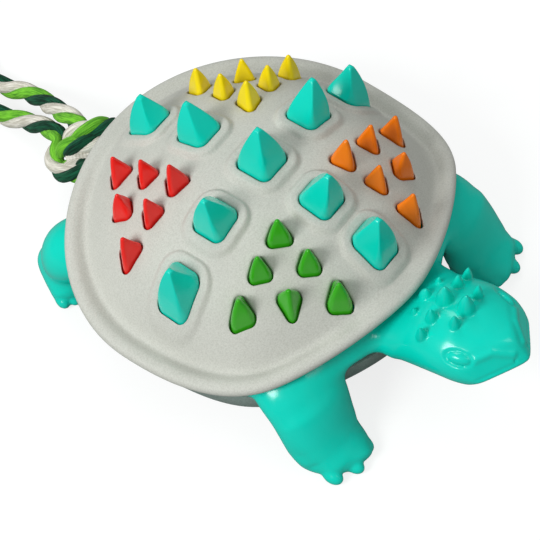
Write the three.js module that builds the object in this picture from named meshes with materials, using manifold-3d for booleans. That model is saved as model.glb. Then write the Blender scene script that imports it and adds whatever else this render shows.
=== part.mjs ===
// A chew toy in the form of a turtle, in millimetres.
// It faces -Y, +X is its left side, and it stands on its feet at z = 0.
// A hard shell with windows covers a hollow rubber body. Five rubber pads of spikes
// are held between the two and can be pressed in. A hard belly closes the hollow from below.

import * as THREE from 'three';
import { mergeVertices } from 'three/addons/utils/BufferGeometryUtils.js';
import Module from 'manifold-3d';

const wasm = await Module();
wasm.setup();

// Clearances and travel
const GAP = 0.3; // between pieces that bear on each other
const WINDOW_CLEARANCE = 0.5; // round a spike in its window
const PRESS_TRAVEL = 2; // how far a pad of spikes goes in

// Upper shell, seen from above about the middle spike
const SHELL_HALF_WIDTH = 75.5;
const SHELL_FRONT = 67;
const SHELL_REAR = 75;
const SHELL_WIDEST_Y = 11;
const SHOULDER_X = SHELL_HALF_WIDTH * 0.755;
const SHOULDER_Y = -45.3;
const SHOULDER_TURN = Math.PI * 0.205; // direction of the outline at the shoulder
const OUTLINE_STEPS = 17; // along each side

// Upper shell, seen from the side
const SHELL_TOP = 73.5;
const SHELL_WALL = 2.6;
const RIM_DROP = { front: 22, rear: 27, side: 38 }; // from the dome's top to the rim
const DOME_ROUND = { front: 15.2, rear: 28.7, side: 19.4 }; // fall with the square of the share
const DOME_STEEP = { front: 14.6, rear: 6.7, side: 43.5 }; // and with its fourth power
const DOME_EDGE = 9.5; // from the rim, where the spikes end
const LIP_WIDTH = 6;
const LIP_RISE = 2;
const RIM_EDGE = 5;
const RIM_ROUND = 1.2;
const DOME_SHARES = [0.22, 0.42, 0.6, 0.76, 0.89, 1];

// Square spikes on the spine and across the back
const SPIKE_SIDE = 12.9;
const SPIKE_HEIGHT = 16.3;
const MIDDLE_SPIKE_SIDE = 14.4;
const MIDDLE_SPIKE_HEIGHT = 18.3;
const SPIKE_CORNER = 3;
const SPIKE_INSET = { front: 18, rear: 20, side: 23 }; // outer spike to the rim
const INNER_LEAN = 0.24; // radians, away from the middle
const OUTER_LEAN = 0.12;
const COLLAR_RISE = 1.6;
const COLLAR_WIDTH = 5.5;
const COLLAR_SLOPE = 2.6;

// Three-sided spikes, six in each quarter
const COLOUR_FIRST = { // nearest the middle
  front: [SHELL_HALF_WIDTH * 0.262, 21.8],
  rear: [SHELL_HALF_WIDTH * 0.29, 23.1],
};
const COLOUR_PITCH = 13.5;
const COLOUR_FAN = 1.2; // sideways to the row at each step
const COLOUR_ROWS = 3;
const COLOUR_RADIUS = 6.5;
const COLOUR_BETWEEN = 0.92; // size of the spikes that are not at a corner of the quarter
const COLOUR_HEIGHT = 11.3;
const COLOUR_CORNER = 1.7;
const COLOUR_LEAN = 0.1;

// Pads that carry the spikes
const PAD_PLATE = 2;
const PAD_MARGIN = 2;

// Posts under the shell, and the screws that draw the belly up to them
const POST_ANGLES = [-29, 47, 133, -151];
const POST_RADIUS = 2.6;
const SCREW_RADIUS = 1.1;
const SCREW_LENGTH = 10;
const SCREW_HEAD_RADIUS = 2.1;
const SCREW_HEAD = 1.6;
const SCREW_WEB = 2.2;

// Rubber body
const BODY_WALL = 4;
const FLANGE_INSET = 6;
const FLANGE_WALL = 2; // round the holes for the posts
const FLANGE_BOTTOM = 25;
const FLANGE_LEAST = 3; // thickness where the dome comes down to it
const NECK_AND_HEAD = [ // y, middle height, half width, half height
  [-54, 33, 21, 7],
  [-67, 32.8, 20.6, 12.2],
  [-72, 34.2, 19.6, 13.8],
  [-77, 36.2, 19.4, 14.8],
  [-87, 39.4, 20, 14],
  [-95, 40.2, 19.6, 12.8],
  [-101, 40.6, 17.4, 11.4],
  [-106.5, 41.8, 13.4, 9.4],
  [-111.5, 43.4, 7.6, 6.2],
  [-115, 44.4, 2.8, 2.9],
];
const FRONT_LEG = [ // outward and forward of the shoulder, middle height, half width, half height
  [-20, -14, 29, 17, 6],
  [-12.4, -1.5, 27.4, 17.1, 9.5],
  [-8.6, 7.2, 21, 15.7, 9],
  [-7.3, 12.2, 9.9, 15.1, 8.7],
  [-7, 16.3, 4.5, 14, 8.1],
  [-6.4, 24.9, 4, 10.2, 5.5],
  [-5.8, 27, 3.4, 7.7, 4.4],
];
const FRONT_TOES = [[-13.8, 26.6], [-4.9, 28.7], [3.1, 24.9]];
const FRONT_WEB = [ // from the leg to the neck, under the rim
  [-15, -1, 30, 8, 5],
  [-27, 6, 30, 7, 5],
  [-43, 12, 31, 7, 6],
];
const FRONT_TOE_HEADING = Math.PI / 2;
const HIND_ANGLE = Math.PI * 0.26; // where the hind leg leaves the rim
const THIGH = [ // outward and rearward of that place
  [-20, -16, 31, 12, 5.5],
  [-11.5, -3, 28, 13.5, 9.5],
  [-7, 6.5, 21, 13, 11],
  [-6, 9, 12, 10, 9],
];
const HIND_FOOT = [ // from the heel to the toes
  [-8.5, 18.5, 12, 5, 4.5],
  [-7, 15, 10, 9, 9],
  [-3.5, 9.5, 7.5, 9, 9],
  [0.5, 4.5, 4.5, 7.5, 6.5],
];
const HIND_TOES = [[-3.5, 3], [1.5, 2.5], [5, 5]];
const HIND_TOE_HEADING = -Math.PI * 0.35;
const TOE_RADIUS = 3;
const TOE_LENGTH = 4.6;
const EYE = { x: 15.1, y: -94.4, z: 46.8, radius: 4.2 };
const HEAD_SPIKES = [ // across, along, radius, height
  [0, -70.5, 2.7, 4], [7.5, -70.8, 1.5, 3],
  [0, -78.6, 3.4, 8.3], [8.2, -78.5, 2.3, 6.3], [14.3, -78.5, 2.1, 6],
  [0, -87.5, 3.3, 8.6], [7.2, -87.6, 2.1, 6.6],
];
const HEAD_SPIKE_ROOT = 2.5; // below the skin
const TAIL_LENGTH = 6;
const TAIL_RADIUS = 6;
const TAIL_HEIGHT = 27;
const TAIL_HOLE_CLEARANCE = 1.2;

// Belly
const BELLY_BOTTOM = 16;
const BELLY_INSET = { front: 1.5, rear: 6.5, side: 6.5 }; // from the shell's outline
const BELLY_CHAMFER = 3;
const BELLY_WALL = 2.6;
const POST_BOTTOM = 22.5;
const BOSS_RADIUS = 5;

// Squeaker, pushed into the belly from inside
const SQUEAKER_RADIUS = 8;
const SQUEAKER_FLANGE = 3;
const SQUEAKER_FLANGE_HEIGHT = 2;
const SQUEAKER_HEIGHT = 10;
const SQUEAKER_BORE = 4;
const REED_THICKNESS = 0.8;
const CAP_HEIGHT = 2.4;

// Rope
const ROPE_RADIUS = 3.3;
const ROPE_SIDES = 8;
const ROPE_STEP = 15;
const KNOT_STEP = 7;

const CORNER_STEPS = 1; // in each blunted corner
const up = new THREE.Vector3(0, 0, 1);

// Solids

function solid(geometry) {
  const bare = geometry.clone();
  bare.deleteAttribute('normal');
  bare.deleteAttribute('uv');
  const merged = mergeVertices(bare, 1e-4);
  const at = merged.attributes.position.array;
  const corners = merged.index.array;
  const faces = [];
  let volume = 0;
  for (let i = 0; i < corners.length; i += 3) {
    const [a, b, c] = corners.slice(i, i + 3);
    if (a === b || b === c || c === a) continue;
    faces.push(a, b, c);
    const [p, q, r] = [a, b, c].map((k) => new THREE.Vector3().fromArray(at, 3 * k));
    volume += p.dot(q.cross(r));
  }
  if (volume < 0) faces.reverse();
  const mesh = new wasm.Mesh({
    numProp: 3,
    vertProperties: new Float32Array(at),
    triVerts: new Uint32Array(faces),
  });
  return new wasm.Manifold(mesh);
}

function joined(solids) {
  return solids.reduce((sum, next) => sum.add(next));
}

function cut(body, tools) {
  return tools.reduce((rest, tool) => rest.subtract(tool), body);
}

// A closed skin over rings of points, all with as many points. Each end is closed at its middle.
function loft(rings) {
  const middle = (ring) => ring.reduce((s, p) => s.add(p), new THREE.Vector3()).divideScalar(ring.length);
  const first = middle(rings[0]);
  const last = middle(rings[rings.length - 1]);
  const profile = [0, ...rings.map(() => 1), 0].map((x, k) => new THREE.Vector2(x, k));
  const sides = rings[0].length;
  const skin = new THREE.LatheGeometry(profile, sides);
  const place = skin.attributes.position;
  for (let i = 0; i <= sides; i += 1) {
    const column = [first, ...rings.map((ring) => ring[i % sides]), last];
    column.forEach((p, k) => place.setXYZ(i * column.length + k, p.x, p.y, p.z));
  }
  return solid(skin);
}

function prism(shape, low, high) {
  const depth = high - low;
  const block = new THREE.ExtrudeGeometry(shape, { depth, bevelEnabled: false, curveSegments: CORNER_STEPS });
  return solid(block.translate(0, 0, low));
}

function cylinder(radius, low, high, x, y, sides = 12) {
  const round = new THREE.CylinderGeometry(radius, radius, high - low, sides);
  return solid(round.rotateX(Math.PI / 2).translate(x, y, (low + high) / 2));
}

function turned(points, sides = 18) {
  const profile = points.map(([r, z]) => new THREE.Vector2(r, z));
  return solid(new THREE.LatheGeometry([...profile, profile[0]], sides).rotateX(Math.PI / 2));
}

function roundedShape(corners, radius) {
  const shape = new THREE.Shape();
  corners.forEach((corner, i) => {
    const before = corners.at(i - 1);
    const after = corners[(i + 1) % corners.length];
    const start = corner.clone().add(before.clone().sub(corner).setLength(radius));
    const end = corner.clone().add(after.clone().sub(corner).setLength(radius));
    if (i === 0) shape.moveTo(start.x, start.y);
    else shape.lineTo(start.x, start.y);
    shape.quadraticCurveTo(corner.x, corner.y, end.x, end.y);
  });
  shape.closePath();
  return shape;
}

function shapePoints(shape) {
  const points = shape.getPoints(CORNER_STEPS);
  if (points[0].distanceTo(points.at(-1)) < 1e-6) points.pop();
  return points;
}

// Shell outline and dome

function shellOutline() {
  const turn = new THREE.Vector2(Math.cos(SHOULDER_TURN), Math.sin(SHOULDER_TURN));
  const shoulder = new THREE.Vector2(SHOULDER_X, SHOULDER_Y);
  const before = shoulder.clone().addScaledVector(turn, -SHOULDER_X / 3);
  const after = shoulder.clone().addScaledVector(turn, (SHELL_HALF_WIDTH - SHOULDER_X) * 0.8);
  const round = 0.552; // handle of a quarter ellipse
  const rearDepth = SHELL_REAR - SHELL_WIDEST_Y;
  const half = new THREE.Path();
  half.moveTo(0, -SHELL_FRONT);
  half.bezierCurveTo(SHOULDER_X * 0.28, -SHELL_FRONT, before.x, before.y, shoulder.x, shoulder.y);
  half.bezierCurveTo(after.x, after.y, SHELL_HALF_WIDTH, SHELL_WIDEST_Y + SHOULDER_Y * 0.68,
    SHELL_HALF_WIDTH, SHELL_WIDEST_Y);
  half.bezierCurveTo(SHELL_HALF_WIDTH, SHELL_WIDEST_Y + round * rearDepth,
    round * SHELL_HALF_WIDTH, SHELL_REAR, 0, SHELL_REAR);
  const left = half.getSpacedPoints(OUTLINE_STEPS);
  const right = left.slice(1, -1).reverse().map((p) => new THREE.Vector2(-p.x, p.y));
  return [...left, ...right];
}

const outline = shellOutline();

function reach(angle) {
  const ray = new THREE.Vector2(Math.cos(angle), Math.sin(angle));
  for (let i = 0; i < outline.length; i += 1) {
    const a = outline[i];
    const b = outline[(i + 1) % outline.length];
    const side = ray.cross(a);
    const other = ray.cross(b);
    const crossing = a.clone().lerp(b, side / (side - other));
    if (side <= 0 && other > 0 && crossing.dot(ray) > 0) return crossing.length();
  }
  return outline[0].length();
}

function byDirection(sizes, angle) {
  const across = Math.cos(angle) ** 2;
  const along = Math.sin(angle) < 0 ? sizes.front : sizes.rear;
  return sizes.side * across + along * (1 - across);
}

const rimDrop = (angle) => byDirection(RIM_DROP, angle);

function domeDrop(angle, share) {
  const fall = byDirection(DOME_ROUND, angle) * share ** 2 + byDirection(DOME_STEEP, angle) * share ** 4;
  return Math.min(fall, rimDrop(angle) + LIP_RISE);
}

function domeHeight(x, y) {
  const angle = Math.atan2(y, x);
  return SHELL_TOP - domeDrop(angle, Math.hypot(x, y) / reach(angle));
}

// A ring of points over the outline: drawn in by inset, or at a share of the way to the dome's edge
function ring(place, height) {
  return outline.map((p) => {
    const angle = Math.atan2(p.y, p.x);
    const share = place(p.length(), angle);
    return new THREE.Vector3(p.x * share, p.y * share, height(angle, share));
  });
}

const insetBy = (inset) => (radius) => 1 - inset / radius;
const inFromBelly = (more) => (radius, angle) => 1 - (byDirection(BELLY_INSET, angle) + more) / radius;
const shareOfDome = (share) => (radius) => share * (1 - DOME_EDGE / radius);
const level = (z) => () => z;
const belowRim = (depth) => (angle) => SHELL_TOP - rimDrop(angle) - depth;
const belowDome = (depth) => (angle, share) => SHELL_TOP - domeDrop(angle, share) - depth;

function domeRings(depth) {
  return DOME_SHARES.map((share) => ring(shareOfDome(share), belowDome(depth)));
}

function domeSlab(top, bottom) {
  return loft([...domeRings(top), ...domeRings(bottom).reverse()]);
}

// Places of the spikes

function spikePlaces() {
  const places = [{ x: 0, y: 0, lean: 0, side: MIDDLE_SPIKE_SIDE, height: MIDDLE_SPIKE_HEIGHT }];
  const arms = [
    [0, -1, SHELL_FRONT - SPIKE_INSET.front],
    [0, 1, SHELL_REAR - SPIKE_INSET.rear],
    [-1, 0, reach(0) - SPIKE_INSET.side],
    [1, 0, reach(0) - SPIKE_INSET.side],
  ];
  for (const [dx, dy, far] of arms) {
    for (const [share, lean] of [[0.535, INNER_LEAN], [1, OUTER_LEAN]]) {
      places.push({ x: dx * far * share, y: dy * far * share, lean, side: SPIKE_SIDE, height: SPIKE_HEIGHT });
    }
  }
  return places;
}

function colourPlaces(sx, sy) {
  const [firstX, firstY] = sy < 0 ? COLOUR_FIRST.front : COLOUR_FIRST.rear;
  const places = [];
  for (let i = 0; i < COLOUR_ROWS; i += 1) {
    for (let j = 0; i + j < COLOUR_ROWS; j += 1) {
      const turnedRound = i === 1 && j === 1;
      const atCorner = i % 2 === 0 && j % 2 === 0;
      places.push({
        x: sx * (firstX + i * COLOUR_PITCH + j * COLOUR_FAN),
        y: sy * (firstY + j * COLOUR_PITCH + i * COLOUR_FAN),
        heading: Math.atan2(sy, sx) + (turnedRound ? 0 : Math.PI),
        size: atCorner ? 1 : COLOUR_BETWEEN,
      });
    }
  }
  return places;
}

function squareShape(side, extra = 0) {
  const h = side / 2 + extra;
  const corners = [[-h, -h], [h, -h], [h, h], [-h, h]].map(([x, y]) => new THREE.Vector2(x, y));
  return roundedShape(corners, SPIKE_CORNER);
}

function triangleShape({ heading, size }, extra = 0) {
  const corners = [0, 1, 2].map((k) => {
    const angle = heading + k * Math.PI * 2 / 3;
    const far = COLOUR_RADIUS * size + 2 * extra;
    return new THREE.Vector2(far * Math.cos(angle), far * Math.sin(angle));
  });
  return roundedShape(corners, COLOUR_CORNER + extra);
}

// A spike with bulging faces: upright through the shell, then drawn in to a leaning tip
function spike({ x, y, lean, height }, shape, rise, root) {
  const points = shapePoints(shape);
  const far = Math.hypot(x, y) || 1;
  const tip = new THREE.Vector2(x / far, y / far).multiplyScalar(height * Math.sin(lean));
  const base = domeHeight(x, y) + rise;
  const section = (share, lift) => points.map((p) => {
    const px = p.x * share + tip.x * lift;
    const py = p.y * share + tip.y * lift;
    const ground = domeHeight(x + p.x, y + p.y) + rise;
    return new THREE.Vector3(x + px, y + py, ground + (base + height - ground) * lift);
  });
  const foot = points.map((p) => new THREE.Vector3(x + p.x, y + p.y, domeHeight(x + p.x, y + p.y) - root));
  return loft([foot, section(1, 0), section(0.66, 0.5), section(0, 1)]);
}

// Upper shell

const spikes = spikePlaces();
const quarters = {
  red: colourPlaces(-1, 1),
  yellow: colourPlaces(1, 1),
  orange: colourPlaces(1, -1),
  green: colourPlaces(-1, -1),
};

function windowThrough({ x, y }, shape) {
  return prism(shape, 0, SHELL_TOP + SPIKE_HEIGHT).translate([x, y, 0]);
}

// A raised rounded square round a window, sloping down to the dome on all sides
function collar({ x, y, side }) {
  const section = (shape, depth) => shapePoints(shape).map((p) => {
    return new THREE.Vector3(x + p.x, y + p.y, domeHeight(x + p.x, y + p.y) + depth);
  });
  const wide = squareShape(side, COLLAR_WIDTH);
  const narrow = squareShape(side, COLLAR_WIDTH - COLLAR_SLOPE);
  const inside = squareShape(side);
  return loft([
    section(inside, -SHELL_WALL / 2), section(wide, -SHELL_WALL / 2), section(wide, 0),
    section(narrow, COLLAR_RISE), section(inside, COLLAR_RISE),
  ]);
}

const bellyInner = BELLY_INSET.side + BELLY_WALL;
const postInset = bellyInner + POST_RADIUS + 2 * GAP;
const cavityInset = postInset + POST_RADIUS + GAP + FLANGE_WALL;
const posts = POST_ANGLES.map((degrees) => {
  const angle = THREE.MathUtils.degToRad(degrees);
  const far = reach(angle) - postInset;
  const outer = far + POST_RADIUS;
  const top = domeHeight(outer * Math.cos(angle), outer * Math.sin(angle)) - SHELL_WALL / 4;
  return { x: far * Math.cos(angle), y: far * Math.sin(angle), top };
});

function upperShell() {
  const skin = loft([
    ...domeRings(0),
    ring(insetBy(LIP_WIDTH), belowDome(0)),
    ring(insetBy(LIP_WIDTH / 2), belowRim(0)),
    ring(insetBy(RIM_ROUND), belowRim(RIM_ROUND / 3)),
    ring(insetBy(0), belowRim(RIM_EDGE / 3)),
    ring(insetBy(0), belowRim(RIM_EDGE - RIM_ROUND)),
    ring(insetBy(RIM_ROUND), belowRim(RIM_EDGE)),
    ring(insetBy(LIP_WIDTH), belowDome(SHELL_WALL)),
    ...domeRings(SHELL_WALL).reverse(),
  ]);
  const pilot = SCREW_RADIUS + GAP;
  const feet = posts.map(({ x, y, top }) => cylinder(POST_RADIUS, POST_BOTTOM, top, x, y));
  const pilots = posts.map(({ x, y }) => cylinder(pilot, 0, POST_BOTTOM + SCREW_LENGTH, x, y, 8));
  const collars = spikes.map(collar);
  const squareWindows = spikes.map((s) => windowThrough(s, squareShape(s.side, WINDOW_CLEARANCE)));
  const colourWindows = Object.values(quarters).flat()
    .map((s) => windowThrough(s, triangleShape(s, WINDOW_CLEARANCE)));
  return cut(joined([skin, ...collars, ...feet]), [...squareWindows, ...colourWindows, ...pilots]);
}

// Pads of spikes

const padTop = SHELL_WALL + 2 * GAP;
const padBottom = padTop + PAD_PLATE;
const padLayer = domeSlab(padTop, padBottom);
const postRoom = posts.map(({ x, y }) => cylinder(POST_RADIUS + 2 * GAP, 0, SHELL_TOP, x, y));

function plate(shape) {
  return cut(padLayer.intersect(prism(shape, 0, SHELL_TOP)), postRoom);
}

function squarePad() {
  const half = SPIKE_SIDE / 2 + PAD_MARGIN;
  const bar = (x0, y0, x1, y1) => roundedShape(
    [[x0, y0], [x1, y0], [x1, y1], [x0, y1]].map(([x, y]) => new THREE.Vector2(x, y)), SPIKE_CORNER);
  const endX = Math.max(...spikes.map((s) => s.x)) + half;
  const endY = Math.max(...spikes.map((s) => s.y)) + half;
  const startY = Math.min(...spikes.map((s) => s.y)) - half;
  const cross = [plate(bar(-endX, -half, endX, half)), plate(bar(-half, startY, half, endY))];
  const root = padTop + PAD_PLATE / 2;
  return joined([...cross, ...spikes.map((s) => spike(s, squareShape(s.side), COLLAR_RISE, root))]);
}

function colourPad(places) {
  const reachOut = COLOUR_RADIUS + PAD_MARGIN;
  const sx = Math.sign(places[0].x);
  const sy = Math.sign(places[0].y);
  const far = (COLOUR_ROWS - 1) * COLOUR_PITCH;
  const fan = (COLOUR_ROWS - 1) * COLOUR_FAN;
  const corner = (dx, dy) => new THREE.Vector2(places[0].x + sx * dx, places[0].y + sy * dy);
  const outlineCorners = [
    corner(-reachOut, -reachOut), corner(far + reachOut, -reachOut),
    corner(far + reachOut, reachOut + fan), corner(reachOut + fan, far + reachOut),
    corner(-reachOut, far + reachOut),
  ];
  if (sx * sy < 0) outlineCorners.reverse();
  const root = padTop + PAD_PLATE / 2;
  const tips = places.map((s) => {
    return spike({ ...s, lean: COLOUR_LEAN, height: COLOUR_HEIGHT * s.size }, triangleShape(s), 0, root);
  });
  return joined([plate(roundedShape(outlineCorners, SPIKE_CORNER)), ...tips]);
}

// Rubber body

const bodyDepth = padBottom + PRESS_TRAVEL + 3 * GAP;
const flangeTop = belowRim(RIM_EDGE + GAP);
const underPads = (depth) => (angle, share) => {
  return Math.max(SHELL_TOP - domeDrop(angle, share) - bodyDepth, FLANGE_BOTTOM + FLANGE_LEAST) - depth;
};
const cavityShare = (share) => (radius) => share * (1 - cavityInset / radius);
const bodyTop = [
  ...DOME_SHARES.map((share) => ring(shareOfDome(share), underPads(0))),
  ring(insetBy(FLANGE_INSET), flangeTop),
];

function torso() {
  const cavity = DOME_SHARES.map((share) => ring(cavityShare(share), underPads(BODY_WALL)));
  return loft([
    ...bodyTop,
    ring(insetBy(FLANGE_INSET), level(FLANGE_BOTTOM)),
    ring(insetBy(cavityInset), level(FLANGE_BOTTOM)),
    ...cavity.reverse(),
  ]);
}

// A limb through stations, each with its middle, half width and half height.
// Its sections lie across its run, or upright if it is held level.
function limb(stations, sides = 12, heldLevel = false) {
  const middles = stations.map((s) => s.at);
  const rings = stations.map((s, k) => {
    const before = middles[Math.max(k - 1, 0)];
    const after = middles[Math.min(k + 1, middles.length - 1)];
    const along = after.clone().sub(before);
    if (heldLevel) along.z = 0;
    along.normalize();
    const across = new THREE.Vector3().crossVectors(along, up).normalize();
    const rise = new THREE.Vector3().crossVectors(across, along);
    return Array.from({ length: sides }, (_, i) => {
      const angle = i / sides * Math.PI * 2;
      const point = s.at.clone().addScaledVector(across, s.wide * Math.cos(angle));
      return point.addScaledVector(rise, s.tall * Math.sin(angle));
    });
  });
  return loft(rings);
}

const station = (x, y, z, wide, tall) => ({ at: new THREE.Vector3(x, y, z), wide, tall });

function toe(side, x, y, heading) {
  const ball = new THREE.SphereGeometry(TOE_RADIUS, 8, 5).scale(TOE_LENGTH / TOE_RADIUS, 1, 1);
  return solid(ball.rotateZ(side > 0 ? heading : Math.PI - heading).translate(x, y, TOE_RADIUS * 0.9));
}

function frontLeg(side) {
  const place = (out, ahead) => [side * (SHOULDER_X + out), SHOULDER_Y - ahead];
  const leg = limb(FRONT_LEG.map(([out, ahead, z, w, h]) => station(...place(out, ahead), z, w, h)));
  const web = limb(FRONT_WEB.map(([out, ahead, z, w, h]) => station(...place(out, ahead), z, w, h)), 8);
  const toes = FRONT_TOES.map(([out, ahead]) => toe(side, ...place(out, ahead), FRONT_TOE_HEADING));
  return joined([leg, web, ...toes]);
}

function hindLeg(side) {
  const corner = reach(HIND_ANGLE);
  const place = (out, behind) => [
    side * (corner * Math.cos(HIND_ANGLE) + out),
    corner * Math.sin(HIND_ANGLE) + behind,
  ];
  const [thigh, foot] = [THIGH, HIND_FOOT]
    .map((list) => limb(list.map(([out, behind, z, w, h]) => station(...place(out, behind), z, w, h))));
  const toes = HIND_TOES.map(([out, behind]) => toe(side, ...place(out, behind), HIND_TOE_HEADING));
  return joined([thigh, foot, ...toes]);
}

function headHeight(x, y) {
  const k = Math.max(1, NECK_AND_HEAD.findIndex((s) => s[0] <= y));
  const [a, b] = [NECK_AND_HEAD[k - 1], NECK_AND_HEAD[k]];
  const share = (y - a[0]) / (b[0] - a[0]);
  const [, z, wide, tall] = a.map((v, i) => v + (b[i] - v) * share);
  return z + tall * Math.sqrt(Math.max(0, 1 - (x / wide) ** 2));
}

function head() {
  const skull = limb(NECK_AND_HEAD.map(([y, z, w, h]) => station(0, y, z, w, h)), 16, true);
  const eyes = [-1, 1].map((side) => {
    const ball = new THREE.SphereGeometry(EYE.radius, 8, 6).scale(0.7, 1.25, 0.75);
    return solid(ball.translate(side * EYE.x, EYE.y, EYE.z));
  });
  const horns = HEAD_SPIKES.flatMap(([x, y, radius, height]) => (x ? [-x, x] : [x]).map((across) => {
    const whole = height + HEAD_SPIKE_ROOT;
    const horn = new THREE.ConeGeometry(radius * whole / height, whole, 8).rotateX(Math.PI / 2);
    return solid(horn.translate(across, y, headHeight(across, y) + height - whole / 2));
  }));
  return joined([skull, ...eyes, ...horns]);
}

// A stub under the rear rim with a cross hole for the rope

const eyeY = SHELL_REAR + TAIL_LENGTH - TAIL_RADIUS;

function tail() {
  const end = eyeY + TAIL_RADIUS;
  const hole = ROPE_RADIUS + TAIL_HOLE_CLEARANCE;
  const stub = limb([
    station(0, SHELL_REAR - (FLANGE_INSET + cavityInset) / 2, TAIL_HEIGHT, TAIL_RADIUS, TAIL_RADIUS / 2),
    station(0, eyeY, TAIL_HEIGHT, TAIL_RADIUS, TAIL_RADIUS),
    station(0, end - TAIL_RADIUS / 3, TAIL_HEIGHT, TAIL_RADIUS * 0.8, TAIL_RADIUS * 0.85),
    station(0, end, TAIL_HEIGHT, TAIL_RADIUS * 0.4, TAIL_RADIUS * 0.4),
  ]);
  const bore = new THREE.CylinderGeometry(hole, hole, 4 * TAIL_RADIUS, 12);
  return stub.subtract(solid(bore.rotateZ(Math.PI / 2).translate(0, eyeY, TAIL_HEIGHT)));
}

function bellySkin(extra, top) {
  return [
    ring(inFromBelly(BELLY_CHAMFER - extra), level(BELLY_BOTTOM - extra)),
    ring(inFromBelly(-extra), level(BELLY_BOTTOM + BELLY_CHAMFER / 2 - extra)),
    ring(inFromBelly(-extra), level(top)),
  ];
}

function turtleBody() {
  const shellRoom = loft([
    ...bodyTop,
    ring(insetBy(-GAP), flangeTop),
    ring(insetBy(-GAP), level(2 * SHELL_TOP)),
  ]);
  const bellyRoom = loft(bellySkin(GAP, FLANGE_BOTTOM));
  const hollow = loft([
    ring(insetBy(cavityInset), level(0)),
    ring(insetBy(cavityInset), level(SHELL_TOP)),
  ]);
  const ground = solid(new THREE.BoxGeometry(4 * SHELL_HALF_WIDTH, 6 * SHELL_REAR, SHELL_TOP)
    .translate(0, 0, -SHELL_TOP / 2));
  const limbs = joined([head(), frontLeg(1), frontLeg(-1), hindLeg(1), hindLeg(-1), tail()]);
  const trimmed = cut(limbs, [shellRoom, bellyRoom, hollow, ground]);
  const holes = posts.map(({ x, y }) => cylinder(POST_RADIUS + GAP, 0, SHELL_TOP, x, y));
  return cut(torso().add(trimmed), holes);
}

// Belly

const bellyFloor = BELLY_BOTTOM + BELLY_WALL;

function bellyShell() {
  const top = FLANGE_BOTTOM - GAP;
  const tray = loft([
    ...bellySkin(0, top),
    ring(insetBy(bellyInner), level(top)),
    ring(insetBy(bellyInner), level(bellyFloor + BELLY_CHAMFER / 2)),
    ring(insetBy(bellyInner + BELLY_CHAMFER), level(bellyFloor)),
  ]);
  const bossTop = POST_BOTTOM - GAP;
  const bosses = posts.map(({ x, y }) => cylinder(BOSS_RADIUS, BELLY_BOTTOM + BELLY_WALL, bossTop, x, y)
    .intersect(loft(bellySkin(0, top))));
  const head = SCREW_HEAD_RADIUS + GAP;
  const sinks = posts.map(({ x, y }) => cylinder(head, 0, bossTop - SCREW_WEB, x, y));
  const holes = posts.map(({ x, y }) => cylinder(SCREW_RADIUS + GAP, 0, SHELL_TOP, x, y, 8));
  const seat = cylinder(SQUEAKER_RADIUS + GAP, 0, SHELL_TOP, 0, 0, 18);
  return cut(joined([tray, ...bosses]), [...sinks, ...holes, seat]);
}

function screw({ x, y }) {
  const top = POST_BOTTOM - GAP - SCREW_WEB - GAP;
  return turned([
    [0, top - SCREW_HEAD], [SCREW_HEAD_RADIUS, top - SCREW_HEAD], [SCREW_HEAD_RADIUS, top],
    [SCREW_RADIUS, top], [SCREW_RADIUS, top + SCREW_LENGTH - SCREW_RADIUS], [0, top + SCREW_LENGTH],
  ], 8).translate([x, y, 0]);
}

// Squeaker: a housing with a flange, a reed on its inner ledge and a cap over the reed

const squeakerTop = bellyFloor + GAP + SQUEAKER_HEIGHT;
const reedLedge = squeakerTop - CAP_HEIGHT - REED_THICKNESS - 2 * GAP;
const reedRadius = SQUEAKER_RADIUS - 2;

function squeakerHousing() {
  const flangeTop = bellyFloor + GAP + SQUEAKER_FLANGE_HEIGHT;
  const cup = reedRadius + GAP;
  return turned([
    [SQUEAKER_BORE, BELLY_BOTTOM + GAP], [SQUEAKER_RADIUS, BELLY_BOTTOM + GAP],
    [SQUEAKER_RADIUS, bellyFloor + GAP], [SQUEAKER_RADIUS + SQUEAKER_FLANGE, bellyFloor + GAP],
    [SQUEAKER_RADIUS + SQUEAKER_FLANGE, flangeTop], [SQUEAKER_RADIUS, flangeTop],
    [SQUEAKER_RADIUS, squeakerTop], [cup, squeakerTop], [cup, reedLedge], [SQUEAKER_BORE, reedLedge],
  ]);
}

function squeakerReed() {
  return turned([
    [0, reedLedge + GAP], [reedRadius, reedLedge + GAP],
    [reedRadius, reedLedge + GAP + REED_THICKNESS], [0, reedLedge + GAP + REED_THICKNESS],
  ]);
}

function squeakerCap() {
  const low = squeakerTop - CAP_HEIGHT;
  return turned([
    [SQUEAKER_BORE / 2, low], [reedRadius, low], [reedRadius, squeakerTop + GAP],
    [SQUEAKER_RADIUS, squeakerTop + GAP], [SQUEAKER_RADIUS, squeakerTop + GAP + CAP_HEIGHT / 2],
    [SQUEAKER_BORE / 2, squeakerTop + GAP + CAP_HEIGHT / 2],
  ]);
}

// Rope: a pull loop that lies behind the toy, and the knot that ties it to the tail

function ropeRun(points, step) {
  const places = points.map(([x, behind, z]) => new THREE.Vector3(x, eyeY + behind, z));
  const route = new THREE.CatmullRomCurve3(places, false, 'centripetal');
  const section = new THREE.Shape();
  section.absarc(0, 0, ROPE_RADIUS, 0, Math.PI * 2);
  return solid(new THREE.ExtrudeGeometry(section, {
    steps: Math.round(route.getLength() / step),
    curveSegments: ROPE_SIDES,
    extrudePath: route,
  }));
}

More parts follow.
